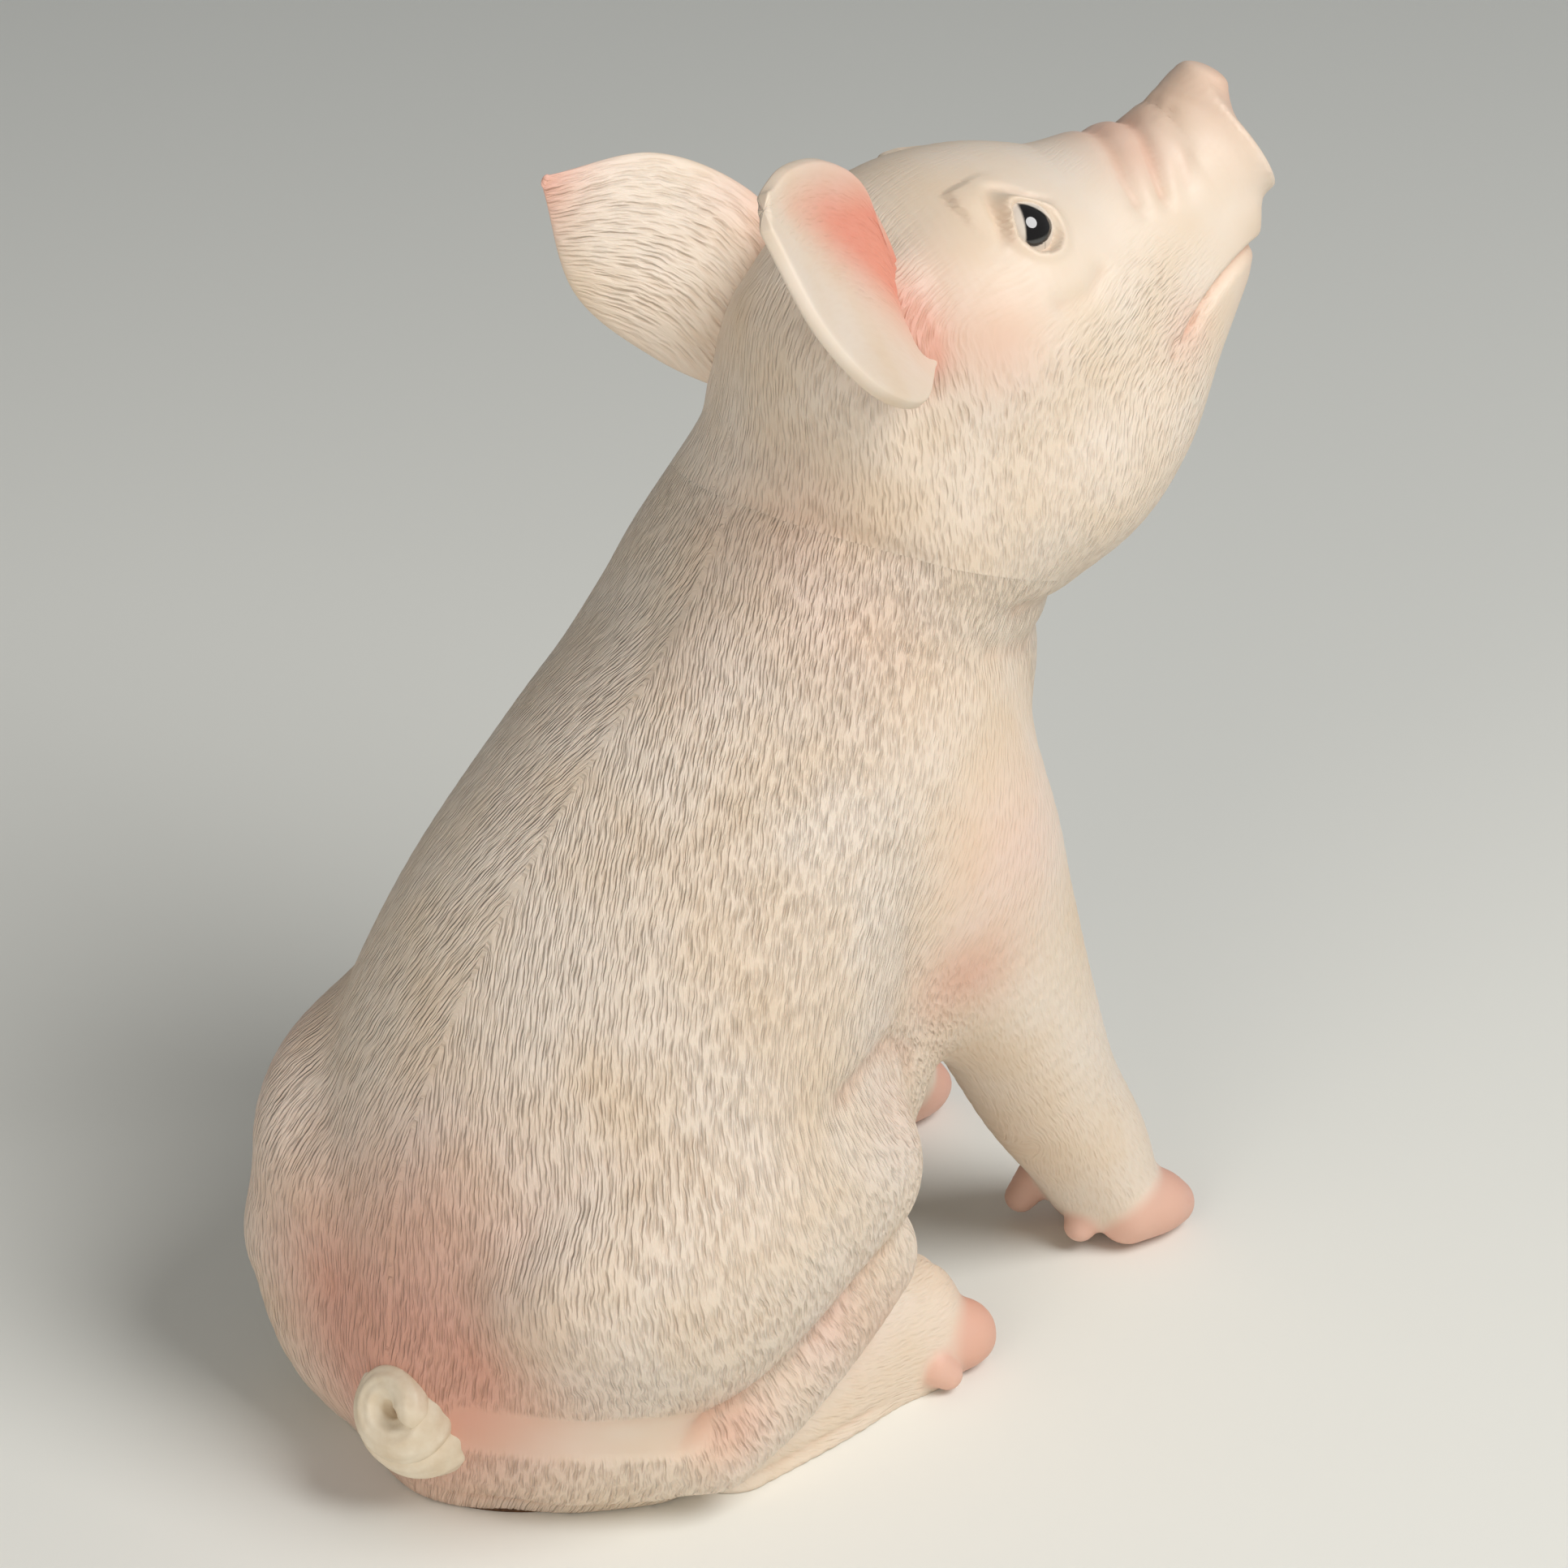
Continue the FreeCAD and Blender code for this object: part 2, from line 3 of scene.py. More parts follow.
import bmesh
import bpy
import numpy as np
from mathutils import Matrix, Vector


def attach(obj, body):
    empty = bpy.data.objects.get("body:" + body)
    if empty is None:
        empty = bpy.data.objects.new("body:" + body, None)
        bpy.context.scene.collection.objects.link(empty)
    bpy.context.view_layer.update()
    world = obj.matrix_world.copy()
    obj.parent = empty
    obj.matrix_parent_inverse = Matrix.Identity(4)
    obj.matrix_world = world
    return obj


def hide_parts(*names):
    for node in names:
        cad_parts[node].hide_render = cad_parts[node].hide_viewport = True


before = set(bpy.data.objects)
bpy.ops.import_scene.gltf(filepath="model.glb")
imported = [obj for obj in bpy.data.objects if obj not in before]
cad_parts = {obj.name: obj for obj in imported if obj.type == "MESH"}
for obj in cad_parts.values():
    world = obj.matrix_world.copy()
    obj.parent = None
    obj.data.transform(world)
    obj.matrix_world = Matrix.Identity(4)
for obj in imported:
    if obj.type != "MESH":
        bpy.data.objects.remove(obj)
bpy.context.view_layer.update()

# Piglet ornament. Shapes are worked out in millimetres on the animal itself: x to its left, y to its
# back, z up, and every table gives x, reach forward and height. frontShift is where the frame's origin is.
frontShift = 6.502


def unit(v):
    return v / np.maximum(np.linalg.norm(v, axis=-1, keepdims=True), 1e-9)


def place(rows):
    # x, forward, up becomes x, y, z with y running backwards
    r = np.asarray(rows, float)
    return np.stack([r[..., 0], frontShift - r[..., 1], r[..., 2]], -1)


headPose = {"centre": (-6, 30, 147), "yaw": 22, "pitch": 23, "roll": 10}


def headAxes():
    # left, ahead and up of the head after it is turned, lifted and tipped
    a, b, c = (math.radians(headPose[k]) for k in ("yaw", "pitch", "roll"))
    ahead = np.array([-math.sin(a) * math.cos(b), -math.cos(a) * math.cos(b), math.sin(b)])
    levelLeft = np.array([math.cos(a), -math.sin(a), 0])
    levelUp = np.cross(ahead, levelLeft)
    left = levelLeft * math.cos(c) - levelUp * math.sin(c)
    up = levelUp * math.cos(c) + levelLeft * math.sin(c)
    return left, ahead, up


headLeft, headAhead, headUp = headAxes()
headCentre = place(headPose["centre"])


def inHead(rows):
    # head centre plus x times its left, forward times its ahead and up times its up
    r = np.asarray(rows, float)
    return headCentre + r[..., 0:1] * headLeft + r[..., 1:2] * headAhead + r[..., 2:3] * headUp


def toHead(points):
    d = points - headCentre
    return np.stack([d @ headLeft, d @ headAhead, d @ headUp], -1)


def spline(rows, count):
    # a smooth curve through the rows (Catmull-Rom), its ends carried on by reflection
    p = np.asarray(rows, float)
    q = np.vstack([2 * p[0] - p[1], p, 2 * p[-1] - p[-2]])
    t = np.linspace(0, len(p) - 1 - 1e-9, count)
    i = t.astype(int)
    s = (t - i)[:, None]
    a, b, c, d = q[i], q[i + 1], q[i + 2], q[i + 3]
    return 0.5 * (2 * b + (c - a) * s + (2 * a - 5 * b + 4 * c - d) * s**2 + (3 * b - a - 3 * c + d) * s**3)


def sweep(rows, count=24, blend=4.0, cap=None, head=False, side=(1, 0, 0)):
    # a row of ellipsoids along a smooth path, each with its half width, half height and half length
    r = spline(rows, count)
    c = inHead(r[:, :3]) if head else place(r[:, :3])
    along = unit(np.gradient(c, axis=0))
    across = np.tile(headLeft if head else np.asarray(side, float), (count, 1))
    across = unit(across - along * (across * along).sum(1, keepdims=True))
    w, h = r[:, 3], r[:, 4]
    long = np.minimum(w, h) if cap is None else np.full(count, float(cap))
    return {"c": c, "s": across, "u": np.cross(across, along), "t": along,
            "w": w, "h": h, "long": long, "blend": blend}


# how far round a mass its distance is worked out, what stands for far off, and how many points go at once
massReach = {"around": 14, "far": 1e3, "batch": 20000}


def massValue(mass, points):
    # signed distance to a mass and its outward direction, for the points near it
    value, slope = np.full(len(points), massReach["far"]), np.zeros((len(points), 3))
    reach = massReach["around"] + max(mass["w"].max(), mass["h"].max(), mass["long"].max())
    low, high = mass["c"].min(0) - reach, mass["c"].max(0) + reach
    near = np.where(np.all((points > low) & (points < high), 1))[0]
    for chunk in np.array_split(near, max(1, len(near) // massReach["batch"])):
        p = points[chunk]
        row = np.arange(len(chunk))
        d = p[:, None, :] - mass["c"][None]
        a = np.einsum("pnk,nk->pn", d, mass["s"]) / mass["w"]
        b = np.einsum("pnk,nk->pn", d, mass["u"]) / mass["h"]
        t = np.einsum("pnk,nk->pn", d, mass["t"]) / mass["long"]
        q = np.sqrt(a * a + b * b + t * t)
        ga, gb, gt = a / mass["w"], b / mass["h"], t / mass["long"]
        steep = np.sqrt(ga * ga + gb * gb + gt * gt) / np.maximum(q, 1e-6)
        f = (q - 1) / np.maximum(steep, 1e-6)
        j = f.argmin(1)
        value[chunk] = f[row, j]
        g = (ga[row, j, None] * mass["s"][j] + gb[row, j, None] * mass["u"][j]
             + gt[row, j, None] * mass["t"][j])
        slope[chunk] = unit(g)
    return value, slope


def blendMasses(masses, points):
    # the masses run into each other with a fillet as wide as the later one's blend
    value, slope = massValue(masses[0], points)
    for mass in masses[1:]:
        v, g = massValue(mass, points)
        k = mass["blend"]
        h = np.clip(0.5 + 0.5 * (value - v) / k, 0, 1)
        slope = slope * (1 - h)[:, None] + g * h[:, None]
        value = value * (1 - h) + v * h - k * h * (1 - h)
    return value, unit(slope)


def nearest(masses, points):
    return np.min([massValue(m, points)[0] for m in masses], axis=0)


def roughMesh(mass, around=28):
    # rings round the path, and ends domed in a few steps
    th = np.linspace(0, 2 * np.pi, around, endpoint=False)[None, :, None]
    tilt = np.radians(np.array([85, 60, 35, 12]))
    dome = len(tilt)
    last = len(mass["c"]) - 1
    index = np.concatenate([np.zeros(dome, int), np.arange(last + 1), np.full(dome, last)])
    shift = np.concatenate([-np.sin(tilt), np.zeros(last + 1), np.sin(tilt[::-1])])
    size = np.concatenate([np.cos(tilt), np.ones(last + 1), np.cos(tilt[::-1])])
    c, s, u, t = (mass[k][index][:, None, :] for k in ("c", "s", "u", "t"))
    w, h, long = (mass[k][index][:, None, None] for k in ("w", "h", "long"))
    hoops = (np.cos(th) * s * w + np.sin(th) * u * h) * size[:, None, None]
    rings = c + t * long * shift[:, None, None] + hoops
    n = len(index)
    i, j = np.meshgrid(np.arange(n - 1), np.arange(around), indexing="ij")
    a, b = (i * around + j).ravel(), (i * around + (j + 1) % around).ravel()
    quads = np.stack([a, b, b + around, a + around], 1).tolist()
    quads.append(list(range(around))[::-1])
    quads.append(list(range((n - 1) * around, n * around)))
    return rings.reshape(-1, 3), quads


def newObject(name, verts, faces):
    # vertices in millimetres become a mesh object in metres, smooth shaded
    mesh = bpy.data.meshes.new(name)
    mesh.from_pydata((np.asarray(verts) * 0.001).tolist(), [], faces)
    mesh.update()
    mesh.shade_smooth()
    obj = bpy.data.objects.new(name, mesh)
    bpy.context.scene.collection.objects.link(obj)
    return obj


def readMesh(mesh):
    # vertices in millimetres, and the loops, starts and sizes of the faces
    v = np.empty(len(mesh.vertices) * 3)
    mesh.vertices.foreach_get("co", v)
    loops = np.empty(len(mesh.loops), np.int32)
    mesh.loops.foreach_get("vertex_index", loops)
    starts = np.empty(len(mesh.polygons), np.int32)
    sizes = np.empty(len(mesh.polygons), np.int32)
    mesh.polygons.foreach_get("loop_start", starts)
    mesh.polygons.foreach_get("loop_total", sizes)
    return v.reshape(-1, 3) * 1000, loops, starts, sizes


# the skin is drawn onto the masses in steps of at most this length, and relaxed before some of them
drawSpec = {"steps": 6, "longest": 2.5, "relaxBefore": (1, 3, 4), "relaxTimes": 2}


def skinOf(name, masses, shapers, voxel, cuts):
    # join the rough masses, remesh them as one closed skin, draw it onto the blended masses and cut it
    verts, faces, count = [], [], 0
    for mass in masses:
        v, f = roughMesh(mass)
        verts.append(v)
        faces += [[i + count for i in face] for face in f]
        count += len(v)
    obj = newObject(name, np.vstack(verts), faces)
    remesh = obj.modifiers.new("voxels", "REMESH")
    remesh.mode = "VOXEL"
    remesh.voxel_size = voxel * 0.001
    mesh = bpy.data.meshes.new_from_object(obj.evaluated_get(bpy.context.evaluated_depsgraph_get()))
    bpy.data.objects.remove(obj)
    v, loops, starts, sizes = readMesh(mesh)
    edges = edgesOf(loops, starts, sizes)
    for step in range(drawSpec["steps"]):
        if step in drawSpec["relaxBefore"]:
            v = smoothPlaces(v, edges, drawSpec["relaxTimes"])
        f, g = blendMasses(shapers, v)
        v -= g * np.clip(f, -drawSpec["longest"], drawSpec["longest"])[:, None]
    v[:, 2] = np.maximum(v[:, 2], 0)
    mesh.vertices.foreach_set("co", (v * 0.001).ravel())
    bm = bmesh.new()
    bm.from_mesh(mesh)
    for point, normal in cuts:
        parts = bm.verts[:] + bm.edges[:] + bm.faces[:]
        bmesh.ops.bisect_plane(bm, geom=parts, plane_co=Vector(point * 0.001), plane_no=Vector(normal),
                               clear_outer=True)
    bm.to_mesh(mesh)
    bm.free()
    return mesh


def vertexNormals(v, loops, starts, sizes):
    # each face's cross product of its diagonals, added up at its vertices
    a, b = v[loops[starts]], v[loops[starts + 1]]
    c, d = v[loops[starts + 2]], v[loops[starts + sizes - 1]]
    face = np.cross(c - a, d - b)
    spread = np.repeat(face, sizes, axis=0)
    order = np.repeat(starts - np.concatenate([[0], np.cumsum(sizes)[:-1]]), sizes) + np.arange(sizes.sum())
    index = loops[order]
    return unit(np.stack([np.bincount(index, spread[:, k], len(v)) for k in range(3)], 1))


def edgesOf(loops, starts, sizes):
    # each face's loops paired with the next one round it
    nxt = np.arange(len(loops)) + 1
    nxt[starts + sizes - 1] = starts
    pair = np.sort(np.stack([loops, loops[nxt]], 1), 1)
    return np.unique(pair, axis=0)


def smoothOver(values, edges, times):
    # each vertex takes the mean of itself and its neighbours, a number of times
    n = len(values)
    count = 1 + np.bincount(edges[:, 0], minlength=n) + np.bincount(edges[:, 1], minlength=n)
    for step in range(times):
        more = np.bincount(edges[:, 0], values[edges[:, 1]], n)
        more = more + np.bincount(edges[:, 1], values[edges[:, 0]], n)
        values = (values + more) / count
    return values


def smoothPlaces(v, edges, times):
    return np.stack([smoothOver(v[:, k], edges, times) for k in range(3)], 1)


def bell(d, width):
    return np.exp(-((d / width) ** 2))


def lineDistance(points, line):
    # the shortest distance to a chain of straight runs, and how far along it that place is, from 0 to 1
    best, where = np.full(len(points), 1e6), np.zeros(len(points))
    steps = np.linalg.norm(np.diff(line, axis=0), axis=1)
    total, done = steps.sum(), 0.0
    for a, b, length in zip(line, line[1:], steps):
        t = np.clip(((points - a) @ (b - a)) / length**2, 0, 1)
        d = np.linalg.norm(points - a - t[:, None] * (b - a), axis=1)
        closer = d < best
        best = np.where(closer, d, best)
        where = np.where(closer, (done + t * length) / total, where)
        done += length
    return best, where


# how far a stroke's line may be drawn onto the skin, how far round it the skin is carved, and how fast the
# stroke grows from its ends
strokeSpec = {"draws": 3, "longest": 4, "around": 12, "growth": 6}


def carve(points, strokes):
    # each stroke sinks (or raises) the skin by its depth, falling off as a bell with its width,
    # and it fades in and out towards its ends
    push = np.zeros(len(points))
    longest, around = strokeSpec["longest"], strokeSpec["around"]
    for stroke in strokes:
        line = spline(stroke["line"], 4 * len(stroke["line"]))
        line = inHead(line) if stroke.get("head") else place(line)
        for step in range(strokeSpec["draws"]):
            f, g = blendMasses(allMasses, line)
            line = line - g * np.clip(f, -longest, longest)[:, None]
        near = np.all((points > line.min(0) - around) & (points < line.max(0) + around), 1)
        d, where = lineDistance(points[near], line)
        fade = np.clip(np.minimum(where, 1 - where) * strokeSpec["growth"] + stroke.get("ends", 0.0), 0, 1)
        push[near] += stroke["depth"] * bell(d, stroke["width"]) * fade
    return push


# a guide's pull falls off beyond about the root of soften, and the maps are solved in this many turns
flowSpec = {"soften": 25, "turns": 500}


def solveFlow(v, normals, edges, fold):
    # a direction at each vertex, mixed from the nearest guides and laid on the skin; then two maps whose
    # steps along the edges come closest to the millimetres travelled across and along that direction.
    # Across counts away from the fold on both sides, so that it closes up round the trunk and the limbs.
    d2 = ((v[:, None, :] - guideAt[None]) ** 2).sum(2)
    weight = 1 / (d2 + flowSpec["soften"]) ** 2
    flow = weight @ guideTo
    flow = unit(flow - normals * (flow * normals).sum(1, keepdims=True))
    across = np.cross(normals, flow) * -np.sign(fold)[:, None]
    i, j = edges[:, 0], edges[:, 1]
    step = v[j] - v[i]
    n = len(v)
    maps = []
    for direction, x in ((across, np.abs(fold)), (flow, v @ flow.mean(0))):
        goal = (step * (direction[i] + direction[j])).sum(1) / 2
        pull = np.bincount(j, goal, n) - np.bincount(i, goal, n)

        def spread(x):
            d = x[j] - x[i]
            return np.bincount(j, d, n) - np.bincount(i, d, n)

        r = pull - spread(x)
        p, rr = r.copy(), r @ r
        for turn in range(flowSpec["turns"]):
            ap = spread(p)
            alpha = rr / max(p @ ap, 1e-20)
            x = x + alpha * p
            r = r - alpha * ap
            fresh = r @ r
            p = r + p * (fresh / max(rr, 1e-20))
            rr = fresh
        maps.append(x)
    return maps


# The masses: each row is a place on the mass's middle line, then its half width and half height there
bodyShape = {
    "trunk": [(0, -31, 20, 36, 33), (0, -30, 32, 40, 35), (0, -26, 46, 41, 36), (0, -17, 64, 39, 33),
              (0, -3, 83, 35, 29), (0, 10.5, 99, 32, 24), (0, 20, 114, 27, 22), (-2, 26, 127, 23, 21)],
    "seat": [(0, -31, 3, 20.5, 31.5), (0, -31, 12, 27, 33), (0, -31, 22, 33, 34)],
    "belly": [(0, -8, 30, 32, 24), (0, 6, 52, 31, 24), (0, 20, 76, 29, 24), (0, 31, 98, 25, 22),
              (0, 36, 112, 20, 19)],
    "neck": [(0, 20, 108, 27, 24), (-3, 27, 123, 24, 23), (-5, 31, 137, 23, 23)],
}
headShape = {
    "skull": [(0, -8, 0, 23, 21), (0, 4, 2, 26.5, 24), (0, 14, 1, 26, 23.5), (0, 26, -1, 21, 19.5),
              (0, 37, 0, 15.5, 15.5), (0, 44, 1.5, 12.2, 12), (0, 47, 2.4, 11, 10.6)],
    "jaw": [(0, -4, -17, 23, 19), (0, 10, -20, 24, 19), (0, 22, -19.5, 19, 15.5), (0, 34, -14.6, 13, 11.3),
            (0, 44, -10, 9.4, 7.8)],
    "disc": [(0, 50, 3.2, 10.4, 9.8), (0, 54, 3.7, 10.8, 9.8), (0, 56.8, 4.2, 11.3, 10.2)],
    "upperLip": [(0, 44, -4, 10, 7.5), (0, 49, -4.5, 9.6, 7), (0, 52.5, -4.5, 8.6, 6.4)],
    "snoutTip": [(0, 54.6, 10.2, 5, 3.8), (0, 57.8, 12.6, 3.8, 3)],
}
# An ear's front, middle and back curves from root to tip; its half thickness at the rim and in the middle,
# the share that it loses towards the tip, how pink the tip is, and the mass that roots it in the head
earShape = {
    "right": {"front": [(-17, 18, 168), (-20, 8, 184), (-23.5, -3, 192), (-27.5, -14, 195.5),
                        (-30.5, -21.5, 195)],
              "middle": [(-17, 20.5, 160), (-20, 12.5, 167), (-24.2, 0.2, 175), (-28.5, -12.4, 184.5),
                         (-32.2, -23, 193.3)],
              "back": [(-26.5, 15.5, 157), (-35, 3.5, 158.5), (-40.5, -11, 167), (-40, -21, 178.5),
                       (-34.5, -25, 191.5)],
              "edge": 2.1, "belly": 1.3, "taper": 0.3, "tipPink": 0.0,
              "root": [(-17, 16, 165.5, 2.9, 2.9), (-20.5, 15, 161, 2.8, 2.8),
                       (-23.5, 13.5, 158.5, 2.2, 2.2)]},
    "left": {"front": [(12, 32, 156), (21, 28, 166), (29.5, 18, 172), (35.6, 3.7, 171.1)],
             "middle": [(14, 24, 150), (22, 17, 157), (29.5, 9, 163), (35.4, 3, 170.4)],
             "back": [(14, 20, 139), (24, 13, 144), (32, 5, 154), (35.6, 2.5, 169.6)],
             "edge": 1.6, "belly": 1.2, "taper": 0.75, "tipPink": 0.7,
             "root": [(11, 31, 155, 3, 3), (13, 24, 149, 3.6, 3.6), (13, 19, 141, 3, 3)]},
}


def limbMasses(s):
    # the foreleg, haunch, shank and hind foot on one side, with their half hooves and dewclaws
    foreleg = [sweep([(s * 18.5, 15, 98, 15, 19), (s * 21.8, 21.5, 82, 15.8, 19),
                      (s * 22.6, 29.2, 65, 13.8, 16.2), (s * 22.4, 37.8, 48, 12.2, 13),
                      (s * 22.5, 46, 31, 10.5, 11), (s * 23, 54, 18, 10, 9.5),
                      (s * 23, 58, 10, 10, 8)], 34, 6)]
    foot = [sweep([(s * 31, -4, 28, 9, 9.5), (s * 32.5, -14, 24, 9.5, 9.8), (s * 33, -26, 18, 9.5, 9.8),
                   (s * 31, -34, 12, 9, 9)], 14, 2),
            sweep([(s * 26, -26, 5, 8.8, 11), (s * 26.3, -12, 5, 9, 12.5), (s * 26.4, 2, 5.5, 9.1, 13),
                   (s * 27.6, 12, 5.5, 9.2, 12.2)], 16, 2, 7.5)]
    for o in (-1, 1):
        foreleg.append(sweep([(s * 24 + o * 4.8, 59, 6.8, 5.4, 6.4), (s * 24.5 + o * 5, 63.5, 5.4, 5.2, 5.2),
                              (s * 25 + o * 4.8, 66.8, 4, 4, 3.8)], 10, 1.5))
        foreleg.append(sweep([(s * 20 + o * 5.5, 54, 7.5, 3, 3.6),
                              (s * 19 + o * 6, 52, 4.2, 2.4, 2.6)], 5, 1.5))
        foot.append(sweep([(s * 27.8 + o * 4.6, 13.5, 6, 5, 6.2), (s * 28.5 + o * 4.7, 16.5, 5.2, 4.8, 5.4),
                           (s * 29 + o * 4.7, 17.8, 4.4, 3.9, 4.2)], 10, 0.8))
    foot.append(sweep([(s * 35.4, 8.5, 4.6, 2.6, 3), (s * 36.6, 10, 2.8, 2.2, 2.3)], 5, 0.8))
    haunch = [sweep([(s * 22, -45, 33, 14, 21), (s * 29.5, -41, 37.5, 14.5, 21.5),
                     (s * 32.5, -31, 42, 14.8, 18.5), (s * 32.5, -18, 44.5, 13.5, 15.5),
                     (s * 31, -7.5, 44, 12, 13.5)], 30, 5),
              sweep([(s * 16, -44, 13, 13, 12), (s * 23, -37, 13, 13, 12)], 6, 6)]
    if s > 0:
        # on this side the haunch spreads further down to the floor
        haunch.append(sweep([(10, -46, 12, 14, 13), (22, -46, 15, 15, 17),
                             (29.5, -42.5, 21, 14.5, 21)], 10, 8))
    return foreleg, haunch, foot


trunkMasses = [sweep(bodyShape["trunk"], 64, 8, 26), sweep(bodyShape["seat"], 12, 6, 8),
               sweep(bodyShape["neck"], 20, 10), sweep(bodyShape["belly"], 24, 10)]
headMasses = [sweep(headShape["skull"], 66, 7, 12, head=True), sweep(headShape["jaw"], 34, 9, head=True),
              sweep(headShape["upperLip"], 10, 3, 3, head=True),
              sweep(headShape["disc"], 12, 2.5, 1.5, head=True),
              sweep(headShape["snoutTip"], 6, 4, 1.5, head=True)]
legLeft, haunchLeft, footLeft = limbMasses(1)
legRight, haunchRight, footRight = limbMasses(-1)
headMasses += [sweep(e["root"], 8, 5) for e in earShape.values()]
haunchMasses = haunchLeft + haunchRight
allMasses = trunkMasses + headMasses + legLeft + legRight + haunchMasses + footLeft + footRight

nape, throat = place((0, -7, 137)), place((0, 52, 114))
neckMiddle = (nape + throat) / 2
neckUp = unit(np.cross(np.array([1.0, 0, 0]), nape - throat))
legTop = {s: (place((s * 22, 32, 57)), unit(place((0, 28, 65)) - place((0, 37, 48)))) for s in (1, -1)}

# millimetres between the skin's vertices
skinGrain = {"body": 0.78, "head": 0.55}

print("shaping the body")
bodyMasses = trunkMasses + legLeft + legRight + haunchMasses + footLeft + footRight
bodyMesh = skinOf("bodySkin", bodyMasses, allMasses, skinGrain["body"], [(neckMiddle, neckUp)])
print("shaping the head")
headMesh = skinOf("headSkin", trunkMasses[:1] + trunkMasses[2:3] + headMasses, allMasses,
                  skinGrain["head"], [(neckMiddle, -neckUp)])
print("body", len(bodyMesh.vertices), "head", len(headMesh.vertices))

# The eyes: the opening's half width and height, how much it narrows above and how far it hangs below the
# middle; the lid's ridge and the groove above it lie at shares of the opening, and the black is a drop
eyeSpec = {"centre": (15.8, 20.3, 13.6), "radius": 4.6, "flat": 0.98, "look": (0.84, 0.38, 0.38),
           "width": 3.0, "height": 3.5, "narrowing": 0.4, "hang": 0.3,
           "lid": 1.6, "lidAt": 1.38, "lidWidth": 0.28, "groove": 0.7, "grooveAt": 2.1, "grooveWidth": 0.3,
           "brow": 1.1, "browAt": (-3.0, 9.0), "browWidth": 4.0, "behind": 0.4, "funnel": 12,
           "black": 2.65, "blackWidest": -1.2, "blackBelow": 1.75, "blackAbove": 4.6, "lean": 0.12}


def eyeFrame(side):
    # the eye's middle and its outward, sideways and upward directions
    c = inHead(np.array(eyeSpec["centre"]) * (side, 1, 1))
    x, f, u = eyeSpec["look"]
    out = unit(headLeft * x * side + headAhead * f + headUp * u)
    up = unit(headUp - out * (headUp @ out))
    return c, out, np.cross(up, out), up


def eyeOpening(a, b):
    # distance from the eye's middle as a share of the opening, an oval that narrows towards its top
    width = eyeSpec["width"] * (1 - eyeSpec["narrowing"] * np.clip(b / eyeSpec["height"], 0, 1))
    return np.hypot(a / width, (b + eyeSpec["hang"]) / eyeSpec["height"])


def shapeEyes(v):
    # a lid ridge rings each eye as a bell over that share, thicker above, and the skin inside the ring
    # sinks behind the bead
    for side in (-1, 1):
        c, out, across, up = eyeFrame(side)
        d = v - c
        a, b, h = d @ across * -side, d @ up, d @ out
        r = eyeOpening(a, b)
        near = (r < 4) & (h > -2)
        heavier = 0.75 + 0.35 * np.clip(b / 3, -1, 1)
        lift = eyeSpec["lid"] * bell(r - eyeSpec["lidAt"], eyeSpec["lidWidth"]) * heavier
        groove = eyeSpec["groove"] * bell(r - eyeSpec["grooveAt"], eyeSpec["grooveWidth"])
        lift -= groove * np.clip(b / 3, 0, 1)
        browSide, browUp = eyeSpec["browAt"]
        brow = eyeSpec["brow"] * bell(np.hypot(a - browSide, b - browUp), eyeSpec["browWidth"])
        v[near] += (out * (lift + brow)[:, None])[near]
        h = (v - c) @ out
        flat = np.hypot(a, b)
        behind = np.sqrt(np.maximum(eyeSpec["radius"] ** 2 - flat**2, 0)) - eyeSpec["behind"]
        limit = behind + eyeSpec["funnel"] * np.clip(r - 1, 0, 1)
        inside = (r < 1.2) & (h > limit) & (h > 0)
        v[inside] += (out * (limit - h)[:, None])[inside]
    return v


# Creases of the head: the mouth and its corner, three wrinkles over the snout and a fold behind the eye
headStrokes = []
for s in (-1, 1):
    headStrokes += [
        {"head": True, "line": [(s * 14, 34, -12.5), (s * 11.5, 43, -10), (s * 8, 50, -9.5),
                                (s * 2, 53.5, -11), (0, 54, -11.5)],
         "depth": -1.6, "width": 0.9, "ends": 0.4},
        {"head": True, "line": [(s * 15.5, 31, -14.5), (s * 15, 33, -11)], "depth": -0.5, "width": 1.3},
        {"head": True, "line": [(s * 12, 45, 4), (s * 10, 47.5, 9), (s * 5, 49, 12), (0, 49.5, 13)],
         "depth": -0.45, "width": 1.4, "ends": 0.5},
        {"head": True, "line": [(s * 13, 41, 5), (s * 11, 43, 10), (s * 6, 44.5, 13.5), (0, 45, 14.5)],
         "depth": -0.9, "width": 1.2, "ends": 0.5},
        {"head": True, "line": [(s * 14, 37, 6), (s * 12, 38.5, 12), (s * 6, 40, 15.5), (0, 40.5, 16.5)],
         "depth": -0.7, "width": 1.3, "ends": 0.5},
        {"head": True, "line": [(s * 17, 28, 4), (s * 20, 22, 3), (s * 21.5, 16, 5)],
         "depth": -0.6, "width": 1.5},
    ]


noseSpec = {"front": 54.5, "apart": 4.4, "up": 4, "depth": 2.4, "width": 2.0, "tallness": 1.5}


def noseHoles(v):
    # two pits, taller than wide, sink into the snout's flat front as bells
    h = toHead(v)
    push = np.zeros(len(v))
    front = h[:, 1] > noseSpec["front"]
    for side in (-1, 1):
        r = np.hypot(h[:, 0] - side * noseSpec["apart"], (h[:, 2] - noseSpec["up"]) / noseSpec["tallness"])
        push -= noseSpec["depth"] * bell(r, noseSpec["width"]) * front
    return push


